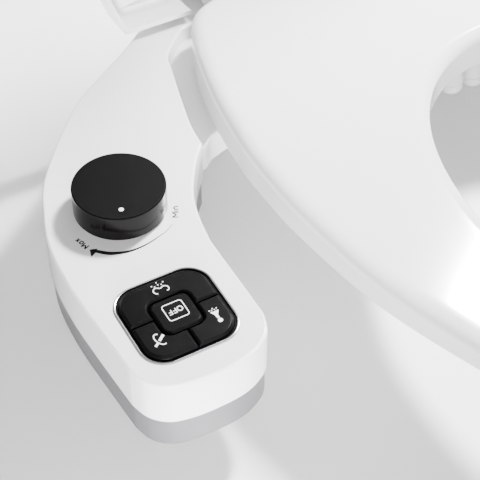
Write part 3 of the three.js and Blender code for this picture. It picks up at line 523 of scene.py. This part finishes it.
top = knob_high.z
knob_wall, knob_roof = 2 * mm, 2.5 * mm
hub_r, bore_r = 7.5 * mm, 4.3 * mm
knob = turned(
    "knob",
    [
        (knob_r - 2 * mm, knob_low.z),
        (knob_r - 0.4 * mm, knob_low.z),
        (knob_r, knob_low.z + 0.4 * mm),
        (knob_r, top - 0.8 * mm),
        (knob_r - 0.12 * mm, top - 0.45 * mm),
        (knob_r - 0.55 * mm, top - 0.08 * mm),
        (knob_r - 0.8 * mm, top),
    ],
    knob_x,
    knob_y,
)
hollow = circle(knob_x, knob_y, knob_r - knob_wall, 96)
cut(knob, prism("hollow", hollow, knob_low.z - mm, top - knob_roof))
hub = circle(knob_x, knob_y, hub_r, 64)
join(knob, prism("hub", hub, knob_low.z + mm, top - mm))
bore = circle(knob_x, knob_y, bore_r, 48)
cut(knob, prism("bore", bore, knob_low.z, top - 5 * mm))
dot_low, dot_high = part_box("knob_marker")
dot_x, dot_y = (dot_low.x + dot_high.x) / 2, (dot_low.y + dot_high.y) / 2
dot_hole = circle(dot_x, dot_y, 1.35 * mm, 48)
cut(knob, prism("dot_hole", dot_hole, top - 0.8 * mm, top + mm))
smooth(knob)
fit(knob, knob_side, "knob", "knob_black", "control_knob")
knob.data.materials.append(knob_face)
for face in knob.data.polygons:
    face.material_index = int(face.normal.z > 0.9 and face.center.z > top - 0.05 * mm)
dot = turned(
    "knob_dot",
    [(1.3 * mm, dot_low.z), (1.3 * mm, top - 0.02 * mm)]
    + [(1.1 * mm, top + 0.05 * mm), (0.6 * mm, dot_high.z)],
    dot_x,
    dot_y,
    48,
)
dot_white = moulding("dot_white", (0.9, 0.9, 0.9), 0.35, grain=0.02)
fit(smooth(dot, 40), dot_white, "knob", "marker_white", "knob_marker")

# Bezel: a thin plated trim frame round the button pad, rolled into two fine lips. It is pressed
# into the cover's square hole from above.
bezel_metal = moulding("bezel_metal", (0.6, 0.6, 0.61), 0.22, metal=1.0, grain=0.01)
bezel_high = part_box("pad_bezel")[1].z
lips = [(0, -4), (0, -0.25), (0.08, -0.05), (0.25, 0), (0.4, -0.12), (0.5, -0.3)]
lips += [(0.6, -0.12), (0.75, -0.02), (0.92, -0.08), (1, -0.3), (1, -4)]
bezel_levels = [(pad_square(d * mm), bezel_high + z * mm) for d, z in lips]
bezel = stack("bezel", bezel_levels, capped=False)
fit(smooth(bezel, 50), bezel_metal, "base", "bezel_metal", "pad_bezel")

# Buttons: four black caps in a sunk well, with wide bevelled edges and white printed symbols.
# The rear half washes the back, the front corners wash the front and clean the nozzles, and the
# square one in the middle turns the water off.
button_black = moulding(
    "button_black", (0.002, 0.002, 0.0021), 0.32, grain=0.05, grain_size=0.3, tint=0.1, shine=0.08
)
print_white = moulding("print_white", (0.93, 0.93, 0.93), 0.5, grain=0.02)
button_low = arm_top - 7 * mm
button_high = arm_top + 2 * mm
off_square = rounded(pad_x, pad_y, 11 * mm, 11 * mm, 4.5 * mm, 16)
pad_rim, button_gap, stem_r, stem_low = 2.6 * mm, 0.8 * mm, 3 * mm, 2 * mm
off_bevel, cap_bevel, slit_bevel, middle_bevel = 1.3 * mm, 1.4 * mm, 1 * mm, 1.5 * mm
stems = {
    "rear_wash": (0, 17.5),
    "nozzle_clean": (-16, -15),
    "front_wash": (16, -15),
    "off": (0, 0),
}
split_x, split_y, slit = pad_x + 0.5 * mm, pad_y + mm, 0.4 * mm
reach = 30 * mm
cells = {
    "rear_wash": (pad_x - reach, pad_x + reach, split_y + slit, pad_y + reach),
    "nozzle_clean": (pad_x - reach, split_x - slit, pad_y - reach, split_y - slit),
    "front_wash": (split_x + slit, pad_x + reach, pad_y - reach, split_y - slit),
}


def bevelled(p, z0, z1, c):
    """Levels of a prism with its top edge cut at an angle."""
    return [(p, z0), (p, z1 - c), (inset(p, c), z1)]


for name, (sx, sy) in stems.items():
    if name == "off":
        cap = stack("off", bevelled(off_square, button_low, button_high, off_bevel))
    else:
        cap = stack(name, bevelled(pad_square(pad_rim), button_low, button_high, cap_bevel))
        x0, x1, y0, y1 = cells[name]
        cell = np.array([(x0, y0), (x1, y0), (x1, y1), (x0, y1)])
        room = stack("cell", bevelled(cell, button_low - mm, button_high, slit_bevel))
        combine(cap, room, "INTERSECT")
        hole = inset(off_square, -button_gap)
        middle_cut = [
            (hole, button_low - 2 * mm),
            (hole, button_high - mm),
            (inset(hole, -middle_bevel), button_high + 0.5 * mm),
        ]
        cut(cap, stack("middle", middle_cut))
    stem = circle(pad_x + sx * mm, pad_y + sy * mm, stem_r, 32)
    join(cap, prism("stem", stem, stem_low, button_low + mm))
    cap.name = name + "_cap"
    smooth(cap, 30, bevel=0.18 * mm, segments=3)
    fit(cap, button_black, name, "button_black", name + "_button")


def local(points):
    """Points given in millimetres from the pad's centre."""
    return [(pad_x + x * mm, pad_y + y * mm) for x, y in points]


def pen(points, width, count=60):
    return stroke(local(points), [width * mm] * len(points), count)


def spot(x, y, r=0.33):
    return circle(pad_x + x * mm, pad_y + y * mm, r * mm, 20)


wash_back = [
    pen(
        [(-2.4, 14.9), (-3.4, 15.5), (-3.9, 16.8), (-3.3, 18.2), (-2.0, 18.7), (-0.6, 18)]
        + [(0.1, 17.4)],
        0.5,
    ),
    pen(
        [(0.1, 17.4), (0.9, 17.9), (2.4, 18.3), (3.8, 17.5), (4.2, 16.2), (3.7, 15), (2.6, 14.7)],
        0.5,
    ),
]
back_drops = [(-3.2, 20.7), (-1.9, 19.7), (0, 21.9), (0.1, 20.2), (1.8, 19.7), (3.2, 20.9)]
wash_back += [spot(x, y) for x, y in back_drops]
wash_front = [
    circle(pad_x + 16.8 * mm, pad_y - 15 * mm, 1.25 * mm, 32),
    local(
        [(16.2, -13.5), (15.9, -12.2), (15.8, -10.9), (15.2, -9.7), (14.6, -8.9), (15.1, -8.3)]
        + [(16.1, -8.8), (16.9, -8.6), (17.7, -8.8), (18.7, -8.4), (18.9, -9.1), (18.2, -10)]
        + [(17.5, -11), (17.3, -12.3), (17.3, -13.5)]
    ),
]
front_drops = [(14.6, -7.4), (15.8, -7.6), (16.6, -6.7), (17.3, -7.7), (18.6, -7.2)]
wash_front += [spot(x, y, 0.3) for x, y in front_drops]
clean = [
    pen([(-12, -9.8), (-13.7, -11.2), (-15.2, -12.45)], 1.35),
    pen([(-16.4, -13.35), (-17.4, -14.1), (-18.5, -14.8)], 1.2),
    pen(
        [(-14.3, -8.4), (-15.4, -7.9), (-16.5, -8.5), (-17.0, -10.3), (-16.6, -12.4)]
        + [(-15.6, -14.3), (-14.3, -15.4), (-12.9, -15.3)],
        0.55,
    ),
]
symbol_thick, frame_line = 0.04 * mm, 0.42 * mm
off_x, off_y = pad_x + 0.3 * mm, pad_y + 1.1 * mm
frame_out = rounded(off_x, off_y, 5.6 * mm, 5.5 * mm, 1.7 * mm, 12)
for name, marks, body in [
    ("rear_wash_symbol", wash_back, "rear_wash"),
    ("front_wash_symbol", wash_front, "front_wash"),
    ("nozzle_clean_symbol", clean, "nozzle_clean"),
]:
    fit(smooth(flat(name, marks, button_high, symbol_thick)), print_white, body, "marker_white")
off_frame = flat("off_frame", [frame_out], button_high, symbol_thick)
frame_in = inset(frame_out, frame_line)
cut(off_frame, prism("inside", frame_in, button_high - mm, button_high + mm))
fit(smooth(off_frame), print_white, "off", "marker_white")
off_long, off_high, off_turn, off_pen = 7.6 * mm, 2.9 * mm, 183, 0.45 * mm
place = off_x, off_y, button_high
off_word = printed("off_word", "OFF", *place, off_long, off_high, off_turn, off_pen)
fit(off_word, print_white, "off", "marker_white")

# Seat ring: compression-moulded white resin with a hard gloss, hollow underneath, thick at the
# hinge and thin at the front. Its long edges are rolled, and four rubber feet rest on the bowl.
seat_rear = 7 * mm
seat_length = 422 * mm
seat_wall = 4 * mm
under = 21.5 * mm
rear_thick, front_thick = 27.5 * mm, 12 * mm
slope = (rear_thick - front_thick) / seat_length
hinge_y, hinge_z = 20 * mm, 40 * mm
seat_white = moulding("seat_white", (0.86, 0.86, 0.865), 0.12, coat=0.6, grain=0.006, tint=0.015)


def mirrored(half_line, count):
    """Symmetric outline from its +X half, which starts and ends on the centre line."""
    other = [(-x, y) for x, y in half_line[1:-1]][::-1]
    return outline(curve([*half_line, *other], count, closed=True))


def seat_point(w, k):
    return w * seat_half, seat_rear - seat_length * k


ring_outline = mirrored(
    [seat_point(0, 0), seat_point(0.5, 0), seat_point(0.72, 0.002), seat_point(0.81, 0.011)]
    + [seat_point(0.87, 0.036), seat_point(0.913, 0.078), seat_point(0.942, 0.12)]
    + [seat_point(0.976, 0.19), seat_point(0.996, 0.265), seat_point(1, 0.32)]
    + [seat_point(0.986, 0.42), seat_point(0.927, 0.56), seat_point(0.81, 0.7)]
    + [seat_point(0.655, 0.85), seat_point(0.37, 0.961), seat_point(0, 1)],
    360,
)
hole_centre = np.array([0, -223 * mm])
hole_half_x, hole_half_y = 95 * mm, 125 * mm
hole_power = 2.25


def hole_edge(grow):
    """Seat opening as a squarish oval, with a point for each point of the ring's outline."""
    a, b = hole_half_x + grow, hole_half_y + grow
    d = ring_outline - hole_centre
    t = np.arctan2(d[:, 1] / 211, d[:, 0] / 179)
    c = np.stack([np.cos(t), np.sin(t)], 1)
    return hole_centre + np.sign(c) * np.abs(c) ** (2 / hole_power) * (a, b)


def top_height(p):
    return under + rear_thick + slope * (p[:, 1] - seat_rear)


def below_top(d):
    """Height that follows the ring's sloped top, d under it."""
    return lambda p: top_height(p) - d


edge_r, foot_r = 7 * mm, 1.5 * mm
edge_wide = 1.25 * edge_r
roll = np.linspace(0, math.pi / 2, 10)
rows = [(inset(ring_outline, foot_r), under)]
for t in np.linspace(0.2, math.pi / 2, 4):
    rise = foot_r * (1 - math.cos(t))
    rows.append((inset(ring_outline, foot_r * (1 - math.sin(t))), under + rise))
for t in roll:
    p = inset(ring_outline, edge_wide * (1 - math.cos(t)))
    rows.append((p, below_top(edge_r * (1 - math.sin(t)))))
last, first = rows[-1][0], hole_edge(edge_wide)
for s in np.linspace(0, 1, 14)[1:-1]:
    rows.append((last * (1 - s) + first * s, top_height))
for t in roll[::-1]:
    p = hole_edge(edge_wide * (1 - math.cos(t)))
    rows.append((p, below_top(edge_r * (1 - math.sin(t)))))
rows += [
    (hole_edge(0), under + mm),
    (hole_edge(mm), under),
    (hole_edge(seat_wall - 0.5 * mm), under),
    (hole_edge(seat_wall), under + 0.5 * mm),
    (hole_edge(seat_wall), below_top(seat_wall + 2 * mm)),
    (hole_edge(seat_wall + 2 * mm), below_top(seat_wall)),
]
inner_last = hole_edge(seat_wall + 2 * mm)
inner_first = inset(ring_outline, seat_wall + 3 * mm)
for s in np.linspace(0, 1, 8)[1:-1]:
    rows.append((inner_last * (1 - s) + inner_first * s, below_top(seat_wall)))
rows += [
    (inner_first, below_top(seat_wall)),
    (inset(ring_outline, seat_wall), below_top(seat_wall + 3 * mm)),
    (inset(ring_outline, seat_wall), under + 0.5 * mm),
    (inset(ring_outline, seat_wall - 0.5 * mm), under),
]
ring = stack("ring", rows, capped=False)


def lengthways(name, p, x0, x1):
    """Body along X on one outline in (y, z) about the hinge axis."""
    piece = prism(name, p, x0, x1)
    turn = Matrix(((0, 0, 1, 0), (1, 0, 0, hinge_y), (0, 1, 0, hinge_z), (0, 0, 0, 1)))
    piece.data.transform(turn)
    return piece


feet = [f"seat_bumper_{side}_{end}" for end in ("rear", "front") for side in ("left", "right")]
block_half, ear_r, pin_hole_r = 13 * mm, 8.5 * mm, 3.05 * mm
for foot in feet:
    low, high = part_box(foot)
    x, y = (low.x + high.x) / 2, (low.y + high.y) / 2
    square = rounded(x, y, block_half, block_half, 3 * mm, 6)
    join(ring, prism("foot_block", square, under, below_top(2 * mm)))
ear_round = circle(0, 0, ear_r, 64)
pin_hole = circle(0, 0, pin_hole_r, 48)
for x0, x1 in [(89 * mm, 99.5 * mm), (-99.5 * mm, -89 * mm)]:
    arm = np.array([(-15, -8.5), (0, -8.5), (0, 8.5), (-15, 3.5)]) * mm
    join(ring, lengthways("ear", arm, x0, x1))
    join(ring, lengthways("ear", ear_round, x0, x1))
    cut(ring, lengthways("pin_hole", pin_hole, x0 - mm, x1 + mm))
ring.name = "ring"
smooth(ring, 35)
fit(ring, seat_white, "ring", "seat_white", "seat_ring")

rubber_grey = moulding("rubber_grey", (0.5, 0.5, 0.5), 0.6, grain=0.15, grain_size=0.5)
rubber_black = moulding("rubber_black", (0.025, 0.025, 0.025), 0.65, grain=0.15, grain_size=0.5)
groove_half, groove_deep, groove_pitch = 0.6 * mm, 0.8 * mm, 5 * mm
for foot in feet:
    low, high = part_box(foot)
    x, y = (low.x + high.x) / 2, (low.y + high.y) / 2
    sole = rounded(x, y, 11 * mm, 7 * mm, 4 * mm, 10)
    levels = [(inset(sole, 1.6 * mm), 0), (inset(sole, 0.6 * mm), 0.3 * mm), (sole, 1.4 * mm)]
    levels += [(inset(sole, 0.6 * mm), high.z)]
    body = stack(foot.replace("seat_bumper", "ring_foot"), levels)
    for k in (-1, 0, 1):
        middle_x = x + k * groove_pitch
        sides = middle_x - groove_half, middle_x + groove_half
        cut(body, block(*sides, y - 20 * mm, y + 20 * mm, -mm, groove_deep))
    body.name = foot.replace("seat_bumper", "ring_foot")
    fit(smooth(body, 30, bevel=0.2 * mm), rubber_grey, "ring", "rubber_grey", foot)

# Lid: a thin white shell with a turned-down skirt, stored open. It swings on its own pair of
# ears outside the ring's, and two rubber pads keep it off the ring.
lid_rear = 8 * mm
hinge_behind = 13 * mm
top_at_hinge = under + rear_thick + slope * (hinge_y - seat_rear)
lid_gap, lid_wall, lid_skirt = 4 * mm, 3 * mm, 19 * mm
lid_under = (top_at_hinge - hinge_z) * math.cos(math.atan(slope)) + lid_gap
lid_low_z = lid_under - lid_skirt
lid_open = math.radians(100)
overhang = 14 * mm
lid_white = moulding("lid_white", (0.82, 0.82, 0.825), 0.16, coat=0.5, grain=0.006, tint=0.015)
at_hinge = Matrix.Translation((0, hinge_y, hinge_z))
lid_turn = at_hinge @ Matrix.Rotation(math.atan(slope) - lid_open, 4, "X")


def lid_point(w, grow, k, lower=0.0):
    return w * seat_half + grow * overhang, -hinge_behind - seat_length * k - lower * overhang


lid_outline = mirrored(
    [(0, lid_rear), (0.5 * seat_half, lid_rear), (seat_half, lid_rear)]
    + [(seat_half + x * mm, y * mm) for x, y in [(10, 5), (14, -3), (21, -28), (25, -70)]]
    + [(seat_half + 25 * mm, -hinge_behind - seat_length * 0.25)]
    + [(seat_half + overhang + 4 * mm, -hinge_behind - seat_length * 0.42)]
    + [lid_point(0.93, 1, 0.56), lid_point(0.81, 1, 0.7), lid_point(0.655, 0.9, 0.85, 0.5)]
    + [lid_point(0.37, 0.5, 0.961, 0.85), lid_point(0, 0, 1, 1)],
    300,
)
lid_outline = inset(lid_outline, 0.12 * mm)
lid_edge, lid_inner_edge, lid_foot = 6 * mm, 4 * mm, 0.5 * mm
levels = [(inset(lid_outline, lid_foot), lid_low_z), (lid_outline, lid_low_z + lid_foot)]
levels += soft_edge(lid_outline, lid_low_z, lid_under + lid_wall, lid_edge, 8)[1:]
lid = stack("lid_shell", levels)
inside = [(inset(lid_outline, lid_wall), lid_low_z - mm)]
inside += soft_edge(inset(lid_outline, lid_wall), lid_low_z, lid_under, lid_inner_edge)[1:]
cut(lid, stack("inside", inside))
cut(lid, block(-145 * mm, 145 * mm, 2 * mm, 14 * mm, lid_low_z - 2 * mm, lid_under))
neck_top = lid_under / mm + 1
ear_neck = np.array([(-8.5, 0), (7, 0), (7, neck_top), (-8.5, neck_top)]) * mm
from_hinge = Matrix.Translation((0, -hinge_y, -hinge_z))
for x0, x1 in [(122.5 * mm, 133 * mm), (-133 * mm, -122.5 * mm)]:
    for p in (ear_neck, ear_round):
        ear = lengthways("ear", p, x0, x1)
        ear.data.transform(from_hinge)
        join(lid, ear)
    hole = lengthways("pin_hole", pin_hole, x0 - mm, x1 + mm)
    hole.data.transform(from_hinge)
    cut(lid, hole)
lid.data.transform(lid_turn)
lid.name = "lid_shell"
smooth(lid, 35)
fit(lid, lid_white, "cover_lid", "lid_white", "lid")
pad_y_on_lid = -hinge_behind - 0.83 * seat_length
low, high = lid_under - 3.7 * mm, lid_under - gap
for name, side in [("left", 1), ("right", -1)]:
    pad = rounded(side * 0.5 * seat_half, pad_y_on_lid, 8 * mm, 5 * mm, 3 * mm, 10)
    levels = [(inset(pad, 1.6 * mm), low), (inset(pad, 0.8 * mm), low + 0.3 * mm), (pad, high)]
    stop = stack("lid_pad_" + name, levels)
    stop.data.transform(lid_turn)
    fit(smooth(stop), rubber_grey, "cover_lid", "rubber_grey", "lid_bumper_" + name)

# Hinges: two white posts moulded with round heads, each round a soft-close cartridge, with a
# steel pin that runs out through the ears of the ring and the lid.
post_foot = arm_top + gap - hinge_z
post_r, cartridge_r = 11 * mm, 7.8 * mm
low_part = np.array([(-post_r, post_foot), (7 * mm, post_foot), (7 * mm, 0), (-post_r, 0)])
for name, x0, x1 in [("left", 100 * mm, 122 * mm), ("right", -122 * mm, -100 * mm)]:
    post = lengthways("post", circle(0, 0, post_r, 96), x0, x1)
    join(post, lengthways("foot", low_part, x0, x1))
    cartridge = circle(0, 0, cartridge_r, 72)
    cut(post, lengthways("cartridge", cartridge, x0 - mm, x1 + mm))
    post.name = "hinge_post_body_" + name
    smooth(post, 30, bevel=0.8 * mm, segments=4)
    fit(post, cover_white, "base", "cover_white", "hinge_post_" + name)

# Nozzle unit: a white twin-tube holder that leans forward under the deck, with a spray tip that
# slides out of each tube. Each tip is domed and has a small pattern of holes.
nozzle_white = moulding("nozzle_white", (0.84, 0.85, 0.86), 0.2, coat=0.3, grain=0.01, tint=0.02)
lean = Matrix.Rotation(math.radians(-15), 4, "X")
tube_top = Vector((0, deck_front - 3 * mm, deck_top - wall - 2.2 * mm))
tube_long = 27 * mm
tube_r, tube_bore_r, rod_hole_r, tip_r = 7.6 * mm, 5.55 * mm, 3.05 * mm, 7 * mm
nozzle_x = {"rear_nozzle": -8 * mm, "front_nozzle": 8 * mm}
holder_half = 15 * mm
holder_top = deck_top - wall - gap
holder = block(-holder_half, holder_half, tube_top.y, deck_front + 5 * mm, mm, holder_top)


def down_tube(x):
    """Place of a tube's top end, with Z along the tube."""
    return Matrix.Translation((x, tube_top.y, tube_top.z)) @ lean


def leaning(name, x, profile):
    """Body of revolution about a tube's axis."""
    piece = turned(name, profile, 0, 0, 64)
    piece.data.transform(down_tube(x))
    return piece


tube_profile = [(tube_r - 0.4 * mm, -tube_long), (tube_r, -tube_long + 0.4 * mm), (tube_r, 0)]
bore_profile = [(tube_bore_r, -tube_long + 2.5 * mm), (tube_bore_r, -2 * mm)]
rod_hole_profile = [(rod_hole_r, -tube_long - mm), (rod_hole_r, -tube_long + 3 * mm)]
for x in nozzle_x.values():
    join(holder, leaning("tube", x, tube_profile))
for x in nozzle_x.values():
    cut(holder, leaning("bore", x, bore_profile))
    cut(holder, leaning("rod_hole", x, rod_hole_profile))
holder.name = "nozzle_holder"
smooth(holder, 30)
fit(holder, nozzle_white, "base", "nozzle_white", "nozzle_housing")
tip_low = -tube_long - 7.5 * mm
dome_high, jet_r = 5 * mm, 0.45 * mm
jets = {
    "rear_nozzle": [(0, 0), (1.6, 0), (-1.6, 0)],
    "front_nozzle": [(1.3, 1.3), (-1.3, 1.3), (1.3, -1.3), (-1.3, -1.3), (0, 0)],
}
tip_profile = [
    (tip_r * math.sin(t), tip_low + dome_high * (1 - math.cos(t)))
    for t in np.linspace(0.12, math.pi / 2, 10)
]
tip_profile += [(tip_r, -tube_long - 0.7 * mm), (tip_r - gap, -tube_long - gap)]
socket_profile = [(3.3 * mm, -tube_long - 4.3 * mm), (3.3 * mm, -tube_long + mm)]
jet_profile = [(jet_r, tip_low - mm), (jet_r, tip_low + 2 * mm)]
for name, x in nozzle_x.items():
    tip = leaning(name + "_cap", x, tip_profile)
    cut(tip, leaning("socket", x, socket_profile))
    for hx, hy in jets[name]:
        jet = turned("jet", jet_profile, hx * mm, hy * mm - 2 * mm, 16)
        jet.data.transform(down_tube(x))
        cut(tip, jet)
    tip.name = name + "_cap"
    fit(smooth(tip, 30), nozzle_white, name, "nozzle_white", name + "_tip")


# Fixings under the seat: a glass-filled plate on the bowl, two steel bolts with rolled threads,
# soft bushings that swell in the bowl's holes, and nylon wing nuts. The base plate closes the deck.
def dressed(node, name, material, body, slot, bevel=0.25 * mm, edge=30):
    """The CAD piece's own shape as a new piece, with its edges broken."""
    mesh = nodes[node].data.copy()
    piece = bpy.data.objects.new(name, mesh)
    bpy.context.scene.collection.objects.link(piece)
    work = bmesh.new()
    work.from_mesh(mesh)
    bmesh.ops.remove_doubles(work, verts=work.verts, dist=0.001 * mm)
    bmesh.ops.dissolve_limit(work, angle_limit=math.radians(1), verts=work.verts, edges=work.edges)
    work.to_mesh(mesh)
    work.free()
    smooth(piece, edge, bevel=bevel)
    return fit(piece, material, body, slot, node)


base_grey = moulding("base_grey", (0.62, 0.62, 0.62), 0.5, grain=0.1, grain_size=0.6)
plate_grey = moulding("plate_grey", (0.2, 0.2, 0.21), 0.5, grain=0.12, grain_size=0.4)
nut_white = moulding("nut_white", (0.75, 0.75, 0.74), 0.45, grain=0.05)
steel = moulding("steel", (0.55, 0.55, 0.56), 0.3, metal=1.0, grain=0.05, grain_size=0.3)
brass = moulding("brass", (0.71, 0.5, 0.2), 0.3, metal=1.0, grain=0.04, grain_size=0.3)
dressed("base_plate", "base_floor", base_grey, "base", "base_grey")
dressed("mounting_plate", "bowl_plate", plate_grey, "base", "plate_grey")
dressed("inlet_nipple", "water_inlet", brass, "base", "brass", 0.15 * mm)
pitch, thread_end = 1.25 * mm, -6 * mm
root_r, crest_r, shank_r, bolt_head_r = 3.35 * mm, 3.95 * mm, 4 * mm, 9 * mm
for side in ("left", "right"):
    bush, nut = "swelling_bush_" + side, "nylon_wing_nut_" + side
    dressed("bushing_" + side, bush, rubber_black, "base", "rubber_black", 0.5 * mm)
    dressed("wing_nut_" + side, nut, nut_white, "base", "nut_white", 0.4 * mm)
    low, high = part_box("bolt_" + side)
    x = (low.x + high.x) / 2
    profile = [(2.6 * mm, low.z), (3.4 * mm, low.z + mm)]
    z = low.z + 1.2 * mm
    while z < thread_end:
        profile += [(root_r, z), (crest_r, z + pitch * 0.4), (crest_r, z + pitch * 0.55)]
        z += pitch
    profile += [(3.4 * mm, z), (shank_r, z + mm), (shank_r, 4.3 * mm), (bolt_head_r, 4.3 * mm)]
    profile += [(bolt_head_r, 6.2 * mm), (8.6 * mm, 6.9 * mm), (7.8 * mm, high.z)]
    bolt = turned("threaded_bolt_" + side, profile, x, 0, 48)
    slot_low = high.z - 1.6 * mm
    cut(bolt, block(x - 6 * mm, x + 6 * mm, -0.8 * mm, 0.8 * mm, slot_low, high.z + mm))
    bolt.name = "threaded_bolt_" + side
    fit(smooth(bolt, 35), steel, "base", "steel", "bolt_" + side)
screw_head_r, screw_shank_r, cross_long, cross_wide = 3.6 * mm, 1.5 * mm, 1.9 * mm, 0.45 * mm
for screw in ("arm_screw_outer", "arm_screw_root", "deck_screw_left", "deck_screw_right"):
    low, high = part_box(screw)
    x, y = (low.x + high.x) / 2, (low.y + high.y) / 2
    head_z = low.z + (2 if "arm" in screw else 1.6) * mm
    profile = [(2.4 * mm, low.z), (3.3 * mm, low.z + 0.6 * mm)]
    profile += [(screw_head_r, low.z + 1.2 * mm), (screw_head_r, head_z), (screw_shank_r, head_z)]
    profile += [(screw_shank_r, high.z - 2 * mm), (0.3 * mm, high.z)]
    body = turned("steel_" + screw, profile, x, y, 32)
    for dx, dy in ((cross_long, cross_wide), (cross_wide, cross_long)):
        cut(body, block(x - dx, x + dx, y - dy, y + dy, low.z - mm, low.z + 1.1 * mm))
    body.name = "steel_" + screw
    fit(smooth(body, 35), steel, "base", "steel", screw)

# Return springs: round steel wire wound in open coils, one under each button and one round each
# nozzle rod. They stand on the well's floor or the tube's end and are squeezed as the piece moves.
spring_steel = moulding("spring_steel", (0.6, 0.6, 0.61), 0.25, metal=1.0, grain=0.02)


def coil(name, r, wire, z0, z1, turns, sides=10, steps=32):
    """Open coil round Z, with the wire's outside at the two heights."""
    a = np.linspace(0, 2 * math.pi * turns, turns * steps + 1)
    z = np.linspace(z0 + wire, z1 - wire, len(a))
    rings = []
    for t, height in zip(a, z):
        out = np.array([math.cos(t), math.sin(t), 0])
        b = 2 * math.pi * np.arange(sides) / sides
        rings.append(out * (r + wire * np.cos(b))[:, None] + np.outer(wire * np.sin(b), (0, 0, 1)))
        rings[-1][:, 2] += height
    return skin(name, rings)


button_travel, nozzle_travel = 3 * mm, 13 * mm
well_floor = button_low - button_travel - 2.5 * mm
low, high = well_floor + 0.2 * mm, button_low - 0.2 * mm
for name, (sx, sy) in stems.items():
    spring = coil(name + "_coil", 4.1 * mm, 0.4 * mm, low, high, 3)
    spring.data.transform(Matrix.Translation((pad_x + sx * mm, pad_y + sy * mm, 0)))
    fit(smooth(spring, 60), spring_steel, "base", "spring_steel", name + "_spring")
    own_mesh(spring)
low, high = -tube_long + 2.9 * mm, -6.9 * mm
for name, x in nozzle_x.items():
    spring = coil(name + "_coil", 4.35 * mm, 0.45 * mm, low, high, 4)
    place = down_tube(x)
    spring.data.transform(place)
    fit(smooth(spring, 60), spring_steel, "base", "spring_steel", name + "_spring")
    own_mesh(spring)

# Works inside the arm and the deck: the valve, its spindle and seal, the selector, the nozzle
# rods, the hinge cartridges and pins, and the water hoses. They are mouldings, rubber and steel.
well_black = moulding("well_black", (0.002, 0.002, 0.002), 0.7, grain=0.1, grain_size=0.4, shine=0.1)
valve_grey = moulding("valve_grey", (0.7, 0.7, 0.69), 0.45, grain=0.06)
selector_grey = moulding("selector_grey", (0.14, 0.145, 0.15), 0.5, grain=0.08)
hose_white = moulding("hose_white", (0.78, 0.78, 0.74), 0.35, grain=0.02)
nozzle_grey = moulding("nozzle_grey", (0.5, 0.5, 0.5), 0.4, grain=0.04)
damper_grey = moulding("damper_grey", (0.06, 0.06, 0.06), 0.45, grain=0.06)
finishes = {
    "steel": steel,
    "rubber_black": rubber_black,
    "brass": brass,
    "valve_grey": valve_grey,
    "well_black": well_black,
    "selector_grey": selector_grey,
    "hose_white": hose_white,
    "nozzle_grey": nozzle_grey,
    "damper_grey": damper_grey,
}
for part in frame["record"]["subparts"]:
    node = nodes[part["node"]]
    if node.hide_render:
        continue
    node.data.materials.clear()
    node.data.materials.append(finishes[part["material_slot"]])
